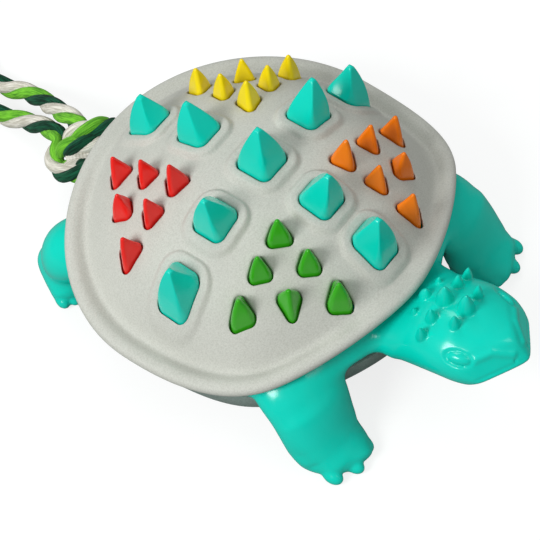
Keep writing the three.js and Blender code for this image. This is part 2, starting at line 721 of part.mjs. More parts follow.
const PULL_LOOP = [ // across, behind the eye of the tail, height
  [1.2, 27.6, 24.7], [3, 36, 21], [6.4, 47, 15], [9, 58, 9.5], [9.6, 67, 5.5], [8, 76, 3.6], [9, 87, 3.4],
  [14, 98, 3.4], [20, 109, 3.4], [23, 122, 3.4], [19, 135, 3.4], [9, 143, 3.4], [-3, 143, 3.4],
  [-14, 135, 3.4], [-18, 122, 3.4], [-16, 109, 3.4], [-11, 98, 3.4], [-7, 87, 3.4], [-5, 76, 3.4],
  [-4, 66, 3.8], [-2.6, 57, 6], [-2.6, 47, 10.5], [-4, 36, 16.4], [-5.2, 30.6, 18.3],
];
const KNOT_RUNS = [
  [[3.8, 9.5, 32.5], [-0.3, 10.5, 33], [-4.1, 14, 32], [-6.4, 19.6, 28], [-6.1, 24, 22.5]],
  [[-3, 9.5, 29.5], [-7.8, 10.5, 30.5], [-11, 14, 29], [-12.3, 19, 25], [-11.5, 23, 20.5]],
  [[-1.5, 17, 28.5], [-0.8, 21.5, 27.2], [0.9, 26.5, 25.1]],
  [[-5.9, 29.1, 18.7], [-8.2, 26.2, 19], [-12.5, 25.5, 18], [-16.3, 22.5, 17.5], [-18.5, 17, 18.5],
    [-18.5, 11.5, 21], [-16, 6, 24], [-11, 1.8, 26.4], [-5.5, 0.1, 27], [0, 0, 27], [7, 0.3, 27.3],
    [11, 3, 28.5], [10, 8.5, 30], [5, 13, 30.5], [0, 15.5, 29.5]],
];

function pullRope() {
  return ropeRun(PULL_LOOP, ROPE_STEP);
}

function ropeKnot() {
  return joined(KNOT_RUNS.map((run) => ropeRun(run, KNOT_STEP)));
}

// Finishes

function finish(color, roughness, metalness = 0) {
  return new THREE.MeshStandardMaterial({ color, roughness, metalness });
}

const hardShell = finish('#d2d3cf', 0.8);
const bellyGrey = finish('#8d958f', 0.75);
const tealRubber = finish('#17b8a2', 0.35);
const squeakerPlastic = finish('#e8e6df', 0.4);
const screwSteel = finish('#b9bcc0', 0.35, 1);
const cottonRope = finish('#3f8f4a', 0.95);
const padFinish = {
  red: finish('#d8261f', 0.35),
  yellow: finish('#f3dd1c', 0.35),
  orange: finish('#e07a17', 0.35),
  green: finish('#43a229', 0.35),
};

// The toy, with the middle of its footprint at the origin

const toy = new THREE.Group();

function piece(name, body, material) {
  const mesh = body.getMesh();
  const geometry = new THREE.BufferGeometry();
  geometry.setAttribute('position', new THREE.BufferAttribute(mesh.vertProperties.slice(), 3));
  geometry.setIndex(new THREE.BufferAttribute(mesh.triVerts.slice(), 1));
  geometry.computeVertexNormals();
  const node = new THREE.Mesh(geometry, material);
  node.name = name;
  toy.add(node);
}

piece('upper_shell', upperShell(), hardShell);
piece('turtle_body', turtleBody(), tealRubber);
piece('belly_shell', bellyShell(), bellyGrey);
piece('teal_spike_pad', squarePad(), tealRubber);
for (const [colour, places] of Object.entries(quarters)) {
  piece(`${colour}_spike_pad`, colourPad(places), padFinish[colour]);
}
posts.forEach((post, k) => piece(`belly_screw_${k + 1}`, screw(post), screwSteel));
piece('squeaker_housing', squeakerHousing(), squeakerPlastic);
piece('squeaker_reed', squeakerReed(), squeakerPlastic);
piece('squeaker_cap', squeakerCap(), squeakerPlastic);

const footprint = new THREE.Box3().setFromObject(toy);
piece('pull_rope', pullRope(), cottonRope);
piece('rope_knot', ropeKnot(), cottonRope);
toy.position.y = -(footprint.min.y + footprint.max.y) / 2;

export default toy;
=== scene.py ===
import math

import bpy
import numpy as np
import openvdb
from mathutils import Matrix, Vector
from mathutils.geometry import delaunay_2d_cdt


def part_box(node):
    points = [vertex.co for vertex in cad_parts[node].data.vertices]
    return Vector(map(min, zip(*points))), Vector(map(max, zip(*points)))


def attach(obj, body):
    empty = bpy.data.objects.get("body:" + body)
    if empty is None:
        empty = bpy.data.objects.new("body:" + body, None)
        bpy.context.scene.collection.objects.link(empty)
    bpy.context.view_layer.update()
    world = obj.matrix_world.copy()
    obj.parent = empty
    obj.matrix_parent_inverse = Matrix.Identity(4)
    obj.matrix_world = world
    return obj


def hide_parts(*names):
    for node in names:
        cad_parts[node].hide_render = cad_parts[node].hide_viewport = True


# A chew toy in the form of a turtle. Sizes are in millimetres about the middle spike of the shell,
# head towards -Y, and pieces are moved into the shared frame, in metres, when their mesh is made.

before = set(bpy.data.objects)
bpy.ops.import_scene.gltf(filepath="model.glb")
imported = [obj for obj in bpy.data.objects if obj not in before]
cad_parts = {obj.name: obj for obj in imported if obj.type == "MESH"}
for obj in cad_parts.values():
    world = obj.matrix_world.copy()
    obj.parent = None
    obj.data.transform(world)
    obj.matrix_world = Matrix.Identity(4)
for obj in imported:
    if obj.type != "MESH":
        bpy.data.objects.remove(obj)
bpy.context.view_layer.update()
scene = bpy.context.scene
scene.view_settings.view_transform = "Standard"

MM = 0.001
SHELL_FRONT = 67.0
SHELL_REAR = 75.0
TO_FRAME = np.array([0.0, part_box("upper_shell")[0].y / MM + SHELL_FRONT, 0.0])

# Camera: the view of the photograph, from ahead of the toy's right shoulder and above

CAMERA_AZIMUTH = math.radians(-46.2494)
CAMERA_ELEVATION = math.radians(57.1403)
CAMERA_ROLL = math.radians(-8.2359)
CAMERA_TARGET = Vector((0.0, 0.0, 75.0))
CAMERA_DISTANCE = 660.0
CAMERA_SIDEWAYS = 2.916
CAMERA_UPWARDS = -39.136
IMAGE_SIZE = 540
FOCAL_PIXELS = 1844.37
SENSOR = 36.0
CAMERA_NEAR = 50.0


def make_camera():
    a, e, r = CAMERA_AZIMUTH, CAMERA_ELEVATION, CAMERA_ROLL
    back = Vector((math.sin(a) * math.cos(e), -math.cos(a) * math.cos(e), math.sin(e)))
    level = Vector((math.cos(a), math.sin(a), 0.0))
    upright = back.cross(level)
    right = level * math.cos(r) + upright * math.sin(r)
    up = upright * math.cos(r) - level * math.sin(r)
    eye = CAMERA_TARGET + back * CAMERA_DISTANCE + right * CAMERA_SIDEWAYS + up * CAMERA_UPWARDS
    eye = (eye + Vector(TO_FRAME)) * MM
    data = bpy.data.cameras.new("camera")
    data.sensor_width = SENSOR
    data.lens = FOCAL_PIXELS / IMAGE_SIZE * SENSOR
    data.clip_start = CAMERA_NEAR * MM
    camera = bpy.data.objects.new("camera", data)
    turn = Matrix((right, up, back)).transposed().to_4x4()
    camera.matrix_world = Matrix.Translation(eye) @ turn
    scene.collection.objects.link(camera)
    scene.camera = camera
    return right, back


view_right, view_back = make_camera()

# Materials


def linear(code):
    parts = [int(code[i:i + 2], 16) / 255 for i in (1, 3, 5)]
    return tuple(c / 12.92 if c <= 0.04045 else ((c + 0.055) / 1.055) ** 2.4 for c in parts) + (1.0,)


def plug(tree, node, inputs):
    for key, value in inputs.items():
        if isinstance(value, bpy.types.NodeSocket):
            tree.links.new(value, node.inputs[key])
        else:
            node.inputs[key].default_value = value


def add(tree, kind, settings=None, inputs=None):
    node = tree.nodes.new(kind)
    for key, value in (settings or {}).items():
        setattr(node, key, value)
    plug(tree, node, inputs or {})
    return node


def new_material(name):
    material = bpy.data.materials.new(name)
    material.use_nodes = True
    tree = material.node_tree
    shader = tree.nodes["Principled BSDF"]
    return material, tree, shader


def per_mm(size):
    return 1.0 / (size * MM)


def place_in(tree):
    return add(tree, "ShaderNodeTexCoord").outputs["Object"]


def noise(tree, place, scale, detail, **more):
    return add(tree, "ShaderNodeTexNoise", None, {
        "Vector": place, "Scale": scale, "Detail": detail, **more}).outputs["Fac"]


def spread(tree, value, low=0.0, high=1.0, span=(0.0, 1.0)):
    return add(tree, "ShaderNodeMapRange", None, {
        "Value": value, "From Min": span[0], "From Max": span[1],
        "To Min": low, "To Max": high}).outputs["Result"]


def between(tree, share, deep, pale):
    return add(tree, "ShaderNodeMix", {"data_type": "RGBA"}, {
        0: share, 6: linear(deep), 7: linear(pale)}).outputs[2]


def bump(tree, height, strength, distance):
    return add(tree, "ShaderNodeBump", None, {
        "Height": height, "Strength": strength, "Distance": distance * MM}).outputs["Normal"]


def sanded_shell(name, pale, deep):
    # Glass-filled nylon from a spark-eroded mould: matt, pale and speckled like fine sand.
    # The grit is about 0.3 mm and is drawn at 0.55 mm so that it shows.
    material, tree, shader = new_material(name)
    place = place_in(tree)
    grit = noise(tree, place, per_mm(0.55), 2.0, Roughness=0.6)
    cloud = noise(tree, place, per_mm(38.0), 2.0)
    tone = add(tree, "ShaderNodeMath", {"operation": "MULTIPLY_ADD"}, {
        0: cloud, 1: 0.35, 2: spread(tree, grit, span=(0.3, 0.7))})
    plug(tree, shader, {
        "Base Color": between(tree, tone.outputs[0], deep, pale),
        "Roughness": spread(tree, grit, 0.66, 0.86),
        "Normal": bump(tree, grit, 0.25, 0.2),
        "IOR": 1.5, "Specular IOR Level": 0.35})
    return material


def moulded_rubber(name, pale, deep, rough_low, rough_high):
    # Thermoplastic rubber from a polished mould: strong colour and a clear gloss, over the slow
    # waviness of the moulding that breaks the highlights.
    material, tree, shader = new_material(name)
    place = place_in(tree)
    cloud = noise(tree, place, per_mm(14.0), 3.0)
    wave = noise(tree, place, per_mm(5.0), 1.5)
    plug(tree, shader, {
        "Base Color": between(tree, cloud, deep, pale),
        "Roughness": spread(tree, wave, rough_low, rough_high, (0.3, 0.7)),
        "Normal": bump(tree, wave, 0.15, 0.25),
        "IOR": 1.5, "Specular IOR Level": 0.45})
    return material


def cotton_yarn(name, pale, deep):
    # Loosely laid cotton: matt, with fine fibres along the strand and a faint nap at grazing angles.
    # Fibres are about 0.1 mm and are drawn at 0.4 mm so that they show.
    material, tree, shader = new_material(name)
    place = add(tree, "ShaderNodeUVMap", {"uv_map": "strand"}).outputs["UV"]
    fibres, clumps = (add(tree, "ShaderNodeMapping", None, {
        "Vector": place, "Scale": (1 / wide, 1 / long, 1.0)}).outputs["Vector"]
        for wide, long in ((0.4, 5.0), (1.6, 9.0)))
    fibre = noise(tree, fibres, 1.0, 3.0, Distortion=0.4)
    clump = noise(tree, clumps, 1.0, 2.0)
    tone = add(tree, "ShaderNodeMath", {"operation": "MULTIPLY"}, {0: fibre, 1: clump})
    share = spread(tree, tone.outputs[0], span=(0.16, 0.32))
    plug(tree, shader, {
        "Base Color": between(tree, share, deep, pale),
        "Normal": bump(tree, fibre, 0.9, 0.5),
        "Roughness": 0.92, "Specular IOR Level": 0.2,
        "Sheen Weight": 0.06, "Sheen Roughness": 0.5})
    return material


def turned_steel(name, pale, deep):
    # Zinc-plated steel, cold headed: bright, with a fine grain in its plating.
    material, tree, shader = new_material(name)
    grain = noise(tree, place_in(tree), per_mm(0.5), 2.0)
    plug(tree, shader, {
        "Base Color": between(tree, grain, deep, pale),
        "Roughness": spread(tree, grain, 0.22, 0.42), "Metallic": 1.0})
    return material


shell_nylon = sanded_shell("sanded_nylon_shell", "#c3c5bd", "#aeb0a7")
# The belly's nylon is a darker, greener copy of the shell's: its own grey-green tone plus painted shade for
# the shade it sits in under the shell.
painted_shade_belly_nylon = sanded_shell("sanded_nylon_belly_painted_shade", "#82908a", "#697670")
PAD_COLOURS = {  # pale, deep
    "teal": ("#04d4c0", "#03cab3"), "red": ("#ee241d", "#e21e18"), "yellow": ("#f9de0a", "#f0d407"),
    "orange": ("#f47e0c", "#e97509"), "green": ("#38ad18", "#32a414"),
}
teal_rubber = moulded_rubber("teal_rubber_body", *PAD_COLOURS["teal"], 0.17, 0.25)
pad_rubber = {name: moulded_rubber(f"{name}_rubber_spikes", *pair, 0.17, 0.24)
              for name, pair in PAD_COLOURS.items()}
squeaker_plastic = moulded_rubber("polythene_squeaker", "#eceae3", "#e0ded6", 0.34, 0.5)
yarns = [
    cotton_yarn("cotton_dark_green", "#14593d", "#052a1c"),
    cotton_yarn("cotton_lime", "#7ccc38", "#4c9224"),
    cotton_yarn("cotton_undyed", "#e6e3d8", "#b9b5a6"),
]
UNDYED = 2
screw_steel = turned_steel("zinc_plated_steel", "#c9ccd0", "#9fa3a8")

# Meshes


def make_piece(name, points, faces, materials, kinds=None, uvs=None, sharp=40.0):
    mesh = bpy.data.meshes.new(name)
    placed = (np.asarray(points, float) + TO_FRAME) * MM
    mesh.from_pydata(placed.tolist(), [], [list(map(int, f)) for f in faces])
    for material in materials:
        mesh.materials.append(material)
    if kinds is not None:
        mesh.polygons.foreach_set("material_index", np.asarray(kinds, np.int32))
    if uvs is not None:
        layer = mesh.uv_layers.new(name="strand")
        layer.data.foreach_set("uv", np.asarray(uvs, np.float32).ravel())
    mesh.polygons.foreach_set("use_smooth", np.ones(len(mesh.polygons), bool))
    mesh.set_sharp_from_angle(angle=math.radians(sharp))
    mesh.update()
    piece = bpy.data.objects.new(name, mesh)
    scene.collection.objects.link(piece)
    return piece


def outward(points, faces):
    points = np.asarray(points, float)
    volume = 0.0
    for face in faces:
        a = points[face[0]]
        for b, c in zip(face[1:-1], face[2:]):
            volume += np.dot(a, np.cross(points[b], points[c]))
    return faces if volume > 0 else [tuple(reversed(f)) for f in faces]


def band(a, b, sides):
    # Quads from the ring of points that starts at number a to the one that starts at b
    return [(a + i, a + (i + 1) % sides, b + (i + 1) % sides, b + i) for i in range(sides)]


def fan(middle, start, sides):
    # Triangles that close a ring with a middle point; the first ring, at number 0, faces the other way
    pairs = [(start + i, start + (i + 1) % sides) for i in range(sides)]
    return [(middle,) + (pair if start else pair[::-1]) for pair in pairs]


def strip(a, b):
    # Quads between two rings that are given as lists of point numbers
    return [(a[i - 1], b[i - 1], b[i], a[i]) for i in [*range(1, len(a)), 0]]


def loft(rings, endless=False):
    # A closed skin over rings of points, with a middle point at each end or joined end to start
    sides, count = len(rings[0]), len(rings)
    points = [p for ring in rings for p in ring]
    faces = []
    for k in range(count if endless else count - 1):
        faces += band(k * sides, (k + 1) % count * sides, sides)
    for k in () if endless else (0, count - 1):
        points.append(np.mean(rings[k], axis=0))
        faces += fan(len(points) - 1, k * sides, sides)
    return points, outward(points, faces)


def joined(parts):
    points, faces = [], []
    for some, their in parts:
        start = len(points)
        points.extend(some)
        faces.extend(tuple(i + start for i in f) for f in their)
    return points, faces


def turned(profile, x, y, sides, endless=False):
    angles = np.linspace(0, 2 * math.pi, sides, endpoint=False)
    rings = [[(x + r * math.cos(t), y + r * math.sin(t), z) for t in angles] for r, z in profile]
    return loft(rings, endless)


# Shell outline and dome, from the same sizes as the solid

SHELL_HALF_WIDTH = 75.5
SHELL_WIDEST_Y = 11.0
SHOULDER = np.array([SHELL_HALF_WIDTH * 0.755, -45.3])
SHOULDER_TURN = math.pi * 0.205
SHELL_TOP = 73.5
SHELL_WALL = 2.6
RIM_DROP = (38.0, 22.0, 27.0)  # side, front, rear
DOME_ROUND = (19.4, 15.2, 28.7)
DOME_STEEP = (43.5, 14.6, 6.7)
LIP_GROOVE = 9.0
LIP_CREST = 3.4
LIP_RISE = 2.0
RIM_EDGE = 5.0
GAP = 0.3


def bezier(a, b, c, d, count=160):
    t = np.linspace(0, 1, count, endpoint=False)[:, None]
    a, b, c, d = (np.asarray(p, float) for p in (a, b, c, d))
    return a * (1 - t) ** 3 + 3 * b * t * (1 - t) ** 2 + 3 * c * t * t * (1 - t) + d * t ** 3


def half_outline():
    turn = np.array([math.cos(SHOULDER_TURN), math.sin(SHOULDER_TURN)])
    before = SHOULDER - turn * SHOULDER[0] / 3
    after = SHOULDER + turn * (SHELL_HALF_WIDTH - SHOULDER[0]) * 0.8
    widest = (SHELL_HALF_WIDTH, SHELL_WIDEST_Y)
    quarter = 0.552  # handle of a curve that follows a quarter of an oval
    rear = SHELL_REAR - SHELL_WIDEST_Y
    return np.concatenate([
        bezier((0, -SHELL_FRONT), (SHOULDER[0] * 0.28, -SHELL_FRONT), before, SHOULDER),
        bezier(SHOULDER, after, (SHELL_HALF_WIDTH, SHELL_WIDEST_Y + SHOULDER[1] * 0.68), widest),
        bezier(widest, (SHELL_HALF_WIDTH, SHELL_WIDEST_Y + quarter * rear),
               (quarter * SHELL_HALF_WIDTH, SHELL_REAR), (0, SHELL_REAR)),
        [(0.0, SHELL_REAR)],
    ])


rim_line = half_outline()
rim_angles = np.arctan2(rim_line[:, 1], rim_line[:, 0])
rim_reach = np.hypot(rim_line[:, 0], rim_line[:, 1])


def reach(x, y):
    return np.interp(np.arctan2(y, np.abs(x)), rim_angles, rim_reach)


def by_direction(sizes, x, y):
    across = np.cos(np.arctan2(y, x)) ** 2
    return sizes[0] * across + np.where(y < 0, sizes[1], sizes[2]) * (1 - across)


def smooth_step(t):
    t = np.clip(t, 0, 1)
    return t * t * (3 - 2 * t)


def soft_min(a, b, k):
    h = np.clip(0.5 + 0.5 * (b - a) / k, 0, 1)
    return b * (1 - h) + a * h - k * h * (1 - h)


DOME_BLEND = 3.0


def dome(x, y):
    share = np.hypot(x, y) / reach(x, y)
    fall = by_direction(DOME_ROUND, x, y) * share ** 2 + by_direction(DOME_STEEP, x, y) * share ** 4
    return SHELL_TOP - soft_min(fall, by_direction(RIM_DROP, x, y) + LIP_RISE, DOME_BLEND)


def inset(x, y):
    return reach(x, y) - np.hypot(x, y)


def rim_ring(depth_in, drop, count):
    t = np.linspace(0, 2 * math.pi, count, endpoint=False)
    x, y = np.cos(t), np.sin(t)
    far = reach(x, y) - depth_in
    height = SHELL_TOP - by_direction(RIM_DROP, x, y) - drop
    return np.stack([x * far, y * far, height], axis=1)


# Places of the spikes

SPIKE_SIDE = 12.9
SPIKE_HEIGHT = 16.3
MIDDLE_SPIKE = (1.116, 1.123)  # wider and taller than the others by these
REAR_SPIKE = (1.0, 0.87)
SPIKE_CORNER = 3.0
SPIKE_INSET = (23.0, 18.0, 20.0)  # side, front, rear
NARROWER = 0.3  # the outline beside the middle spike, against its widest place
INNER_SHARE = 0.535
INNER_LEAN = 0.24
OUTER_LEAN = 0.12
COLLAR_RISE = 2.0
COLLAR_FLAT = 2.6
COLLAR_WIDTH = 5.0
COLOUR_FIRST = {-1: (SHELL_HALF_WIDTH * 0.262, 21.8), 1: (SHELL_HALF_WIDTH * 0.29, 23.1)}
COLOUR_PITCH = 13.5
COLOUR_FAN = 1.2
COLOUR_RADIUS = 6.5
COLOUR_BETWEEN = 0.92
COLOUR_HEIGHT = 11.3
COLOUR_CORNER = 1.7
COLOUR_LEAN = 0.1
WINDOW_CLEARANCE = 0.4
COLOUR_CLEARANCE = 0.7
QUARTERS = {"red": (-1, 1), "yellow": (1, 1), "orange": (1, -1), "green": (-1, -1)}


def square_places():
    places = [(0.0, 0.0, 0.0, MIDDLE_SPIKE)]
    side = SHELL_HALF_WIDTH - NARROWER - SPIKE_INSET[0]
    arms = ((0, -1, SHELL_FRONT - SPIKE_INSET[1]), (0, 1, SHELL_REAR - SPIKE_INSET[2]),
            (-1, 0, side), (1, 0, side))
    for dx, dy, far in arms:
        for share, lean in ((INNER_SHARE, INNER_LEAN), (1.0, OUTER_LEAN)):
            size = REAR_SPIKE if dy > 0 else (1.0, 1.0)
            places.append((dx * far * share, dy * far * share, lean, size))
    return places


def colour_places(sx, sy):
    first = COLOUR_FIRST[sy]
    places = []
    for i in range(3):
        for j in range(3 - i):
            heading = math.atan2(sy, sx) + (0 if i == j == 1 else math.pi)
            size = 1.0 if i % 2 == 0 and j % 2 == 0 else COLOUR_BETWEEN
            places.append((sx * (first[0] + i * COLOUR_PITCH + j * COLOUR_FAN),
                           sy * (first[1] + j * COLOUR_PITCH + i * COLOUR_FAN), heading, size))
    return places


def corner_loop(corners, radius, steps, edge_steps):
    # A convex outline through arcs of that radius about the corners, anticlockwise
    corners = np.asarray(corners, float)
    count = len(corners)
    loop = []
    for i in range(count):
        before, here, after = corners[i - 1], corners[i], corners[(i + 1) % count]
        start = math.atan2(*(here - before)[::-1]) - math.pi / 2
        end = math.atan2(*(after - here)[::-1]) - math.pi / 2
        end += 2 * math.pi if end < start else 0
        for t in np.linspace(start, end, steps + 1):
            loop.append(here + radius * np.array([math.cos(t), math.sin(t)]))
        outgoing = loop[-1]
        turn = np.array([math.cos(end), math.sin(end)])
        arriving = after + radius * turn
        for k in range(1, edge_steps):
            loop.append(outgoing + (arriving - outgoing) * k / edge_steps)
    return np.array(loop)


def square_loop(half, corner, extra, steps, edge_steps):
    h = half - corner
    return corner_loop([(-h, -h), (h, -h), (h, h), (-h, h)], corner + extra, steps, edge_steps)


def triangle_corners(radius, corner, heading):
    far = radius - 2 * corner
    angles = [heading + k * 2 * math.pi / 3 for k in range(3)]
    return [(far * math.cos(t), far * math.sin(t)) for t in angles]


def triangle_loop(radius, corner, heading, extra=0.0, steps=7, edge_steps=6):
    return corner_loop(triangle_corners(radius, corner, heading), corner + extra, steps, edge_steps)


def square_distance(x, y, half, corner):
    qx, qy = np.abs(x) - (half - corner), np.abs(y) - (half - corner)
    return np.hypot(np.maximum(qx, 0), np.maximum(qy, 0)) + np.minimum(np.maximum(qx, qy), 0) - corner


def triangle_distance(x, y, radius, corner, heading):
    points = triangle_corners(radius, corner, heading)
    best = np.full(np.shape(x), 1e9)
    inside = np.ones(np.shape(x), bool)
    for k in range(3):
        (ax, ay), (bx, by) = points[k], points[(k + 1) % 3]
        ex, ey = bx - ax, by - ay
        wx, wy = x - ax, y - ay
        t = np.clip((wx * ex + wy * ey) / (ex * ex + ey * ey), 0, 1)
        best = np.minimum(best, np.hypot(wx - t * ex, wy - t * ey))
        inside &= ex * wy - ey * wx >= 0
    return np.where(inside, -best, best) - corner


squares = square_places()
colours = {name: colour_places(*signs) for name, signs in QUARTERS.items()}

# Rope: a pull loop on the floor behind the toy, and the knot that holds it to the tail

STRAND_RADIUS = 2.35
STRAND_OFFSET = 1.8
ROPE_LAY = -40.0  # length of one turn of the strands, against the clock
ROPE_STEP = 0.8
STRAND_SIDES = 14
STRAND_SHIFT = 37.0  # so that the fibres of the three strands differ
TAIL_EYE_Y = 75.0
TAIL_EYE_Z = 27.0

PULL_LOOP = [  # across, behind the eye of the tail, height
    (1.2, 27.6, 24.7), (3, 36, 21), (6.4, 47, 15), (9, 58, 9.5), (9.6, 67, 5.5), (8, 76, 3.6), (9, 87, 3.4),
    (14, 98, 3.4), (20, 109, 3.4), (23, 122, 3.4), (19, 135, 3.4), (9, 143, 3.4), (-3, 143, 3.4),
    (-14, 135, 3.4), (-18, 122, 3.4), (-16, 109, 3.4), (-11, 98, 3.4), (-7, 87, 3.4), (-5, 76, 3.4),
    (-4, 66, 3.8), (-2.6, 57, 6), (-2.6, 47, 10.5), (-4, 36, 16.4), (-5.2, 30.6, 18.3),
]
KNOT_RUNS = [
    ((6, 9, 27), (4.6, 9.1, 29), (0.5, 11.3, 31), (-3.3, 14.3, 31), (-5.8, 18.6, 28), (-6.4, 21.8, 23)),
    ((-1.5, 8, 25.5), (-2.4, 8.6, 27), (-5.9, 10.6, 28.5), (-9.3, 14.1, 28), (-11.4, 18.7, 25),
     (-11.6, 21.4, 20.5)),
    ((-1.5, 17, 28.5), (-0.8, 21.5, 27.2), (0.9, 26.5, 25.1)),
    ((-5.9, 29.1, 18.7), (-8.2, 26.2, 19), (-12.5, 25.5, 18), (-16.3, 22.5, 17.5), (-18.5, 17, 18.5),
     (-18.5, 11.5, 21), (-16, 6, 24), (-11, 1.8, 26.4), (-5.5, 0.1, 27), (0, 0, 27), (6.5, 1, 26.5),
     (8.5, 5, 25), (6.5, 10, 24), (2, 14, 24)),
]
ROPE_TAIL = [(-13.7, 17.7, 23), (-12.2, 14.1, 24), (-9.5, 10.4, 25), (-6, 7, 26)]
TAIL_RADIUS = 2.7
WHIPPING = 1.3  # from one turn of the thread to the next
WHIPPING_DEPTH = 0.06
WHIPPING_STEP = 0.25
KNOT_INSIDE = [(-18, 16.1, 19), (-16, 14.4, 20), (-13.8, 11.7, 21.5), (-10.8, 8.5, 24)]
KNOT_LAY = -26.0  # the turns crowd together in the knot
KNOT_PHASES = (4.7, 0.4, 1.6)
PULL_PHASE = 3.4


def smooth_route(points, step):
    # Centripetal Catmull-Rom through the points, then even steps
    p = np.asarray(points, float)
    p = np.concatenate([[2 * p[0] - p[1]], p, [2 * p[-1] - p[-2]]])
    dense = []
    for k in range(1, len(p) - 2):
        t = [0.0]
        for a, b in zip(p[k - 1:k + 2], p[k:k + 3]):
            t.append(t[-1] + max(np.linalg.norm(b - a), 1e-6) ** 0.5)
        for u in np.linspace(t[1], t[2], 24, endpoint=False):
            a1 = (p[k - 1] * (t[1] - u) + p[k] * (u - t[0])) / (t[1] - t[0])
            a2 = (p[k] * (t[2] - u) + p[k + 1] * (u - t[1])) / (t[2] - t[1])
            a3 = (p[k + 1] * (t[3] - u) + p[k + 2] * (u - t[2])) / (t[3] - t[2])
            b1 = (a1 * (t[2] - u) + a2 * (u - t[0])) / (t[2] - t[0])
            b2 = (a2 * (t[3] - u) + a3 * (u - t[1])) / (t[3] - t[1])
            dense.append((b1 * (t[2] - u) + b2 * (u - t[1])) / (t[2] - t[1]))
    dense = np.array(dense + [p[-2]])
    run = np.concatenate([[0], np.cumsum(np.linalg.norm(np.diff(dense, axis=0), axis=1))])
    count = max(4, int(round(run[-1] / step)))
    even = np.linspace(0, run[-1], count + 1)
    return np.stack([np.interp(even, run, dense[:, k]) for k in range(3)], axis=1), even


def carried_frames(line):
    along = np.gradient(line, axis=0)
    along /= np.linalg.norm(along, axis=1)[:, None]
    side = np.cross(along[0], (0, 0, 1.0))
    side /= np.linalg.norm(side)
    sides = []
    for t in along:
        side = side - t * np.dot(side, t)
        side /= np.linalg.norm(side)
        sides.append(side)
    sides = np.array(sides)
    return along, sides, np.cross(along, sides)


def tube(line, run, radii):
    _, side, up = carried_frames(line)
    angles = np.linspace(0, 2 * math.pi, STRAND_SIDES, endpoint=False)
    points, faces, uvs = [], [], []
    for p, s, u, r in zip(line, side, up, radii):
        points.extend(p + r * (math.cos(t) * s + math.sin(t) * u) for t in angles)
    width = 2 * math.pi * STRAND_RADIUS
    edges = [i / STRAND_SIDES * width for i in range(STRAND_SIDES + 1)]
    for k, (here, there) in enumerate(zip(run[:-1], run[1:])):
        faces += band(k * STRAND_SIDES, (k + 1) * STRAND_SIDES, STRAND_SIDES)
        for a, b in zip(edges[:-1], edges[1:]):
            uvs.extend([(a, here), (b, here), (b, there), (a, there)])
    for k in (0, len(line) - 1):
        points.append(line[k])
        faces += fan(len(points) - 1, k * STRAND_SIDES, STRAND_SIDES)
        uvs.extend([(0.5 * width, run[k])] * 3 * STRAND_SIDES)
    return points, faces, uvs


def rounded_ends(run, radius):
    ends = np.minimum(run, run[-1] - run)
    return radius * np.sqrt(np.clip(1 - (1 - np.clip(ends / radius, 0.05, 1)) ** 2, 0, 1))


def laid_rope(points, phase, breaks=(), lay=ROPE_LAY):
    # Three strands about the route, as tubes, cut at the points named in breaks: one list of tubes
    # for each length, after the middle line of the length between the last two breaks
    line, run = smooth_route(points, ROPE_STEP)
    line[:, 2] = np.maximum(line[:, 2], STRAND_OFFSET + STRAND_RADIUS)
    _, side, up = carried_frames(line)
    turn = phase + run / lay * 2 * math.pi
    radii = rounded_ends(run, STRAND_RADIUS)
    cuts = [int(np.argmin(np.linalg.norm(line - b, axis=1))) for b in breaks]
    cuts = [0] + cuts + [len(line) - 1]
    lengths = [[] for _ in cuts[1:]]
    for strand in range(3):
        t = (turn + strand * 2 * math.pi / 3)[:, None]
        middle = line + STRAND_OFFSET * (np.cos(t) * side + np.sin(t) * up)
        for tubes, a, b in zip(lengths, cuts[:-1], cuts[1:]):
            part = slice(a, b + 1)
            tubes.append(tube(middle[part], run[part] + STRAND_SHIFT * strand, radii[part]) + (strand,))
    return line[cuts[-3 if breaks else 0]:cuts[-2 if breaks else -1] + 1], lengths


def behind_eye(points):
    return [(x, TAIL_EYE_Y + behind, z) for x, behind, z in points]


def rope_piece(name, tubes):
    points, faces = joined([(some, their) for some, their, _, _ in tubes])
    uvs = [uv for _, _, where, _ in tubes for uv in where]
    kinds = [kind for _, their, _, kind in tubes for _ in their]
    points = np.asarray(points)
    points[:, 2] = np.maximum(points[:, 2], 0.0)
    return make_piece(name, points, faces, yarns, kinds, uvs, sharp=70.0)


def whipped_end():
    # The rope's own end, bound with thread
    line, run = smooth_route(behind_eye(ROPE_TAIL), WHIPPING_STEP)
    radii = rounded_ends(run, TAIL_RADIUS) * (1 + WHIPPING_DEPTH * np.cos(2 * math.pi * run / WHIPPING))
    return tube(line, run, radii) + (UNDYED,)


def make_rope():
    first, second, to_loop, through_tail = KNOT_RUNS
    route = behind_eye(list(to_loop) + PULL_LOOP + list(through_tail))
    ends = behind_eye([PULL_LOOP[0], PULL_LOOP[-1]])
    line, (before, loop, after) = laid_rope(route, PULL_PHASE, ends)
    rope = rope_piece("pull_rope_strands", loop)
    tubes = before + after + [whipped_end()]
    for run, phase in zip((first, second, KNOT_INSIDE), KNOT_PHASES):
        tubes += laid_rope(behind_eye(run), phase, lay=KNOT_LAY)[1][0]
    knot = rope_piece("rope_knot_strands", tubes)
    for piece, node in ((rope, "pull_rope"), (knot, "rope_knot")):
        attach(piece, "toy")
        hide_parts(node)


make_rope()

# Upper shell: one moulding with a window for each spike

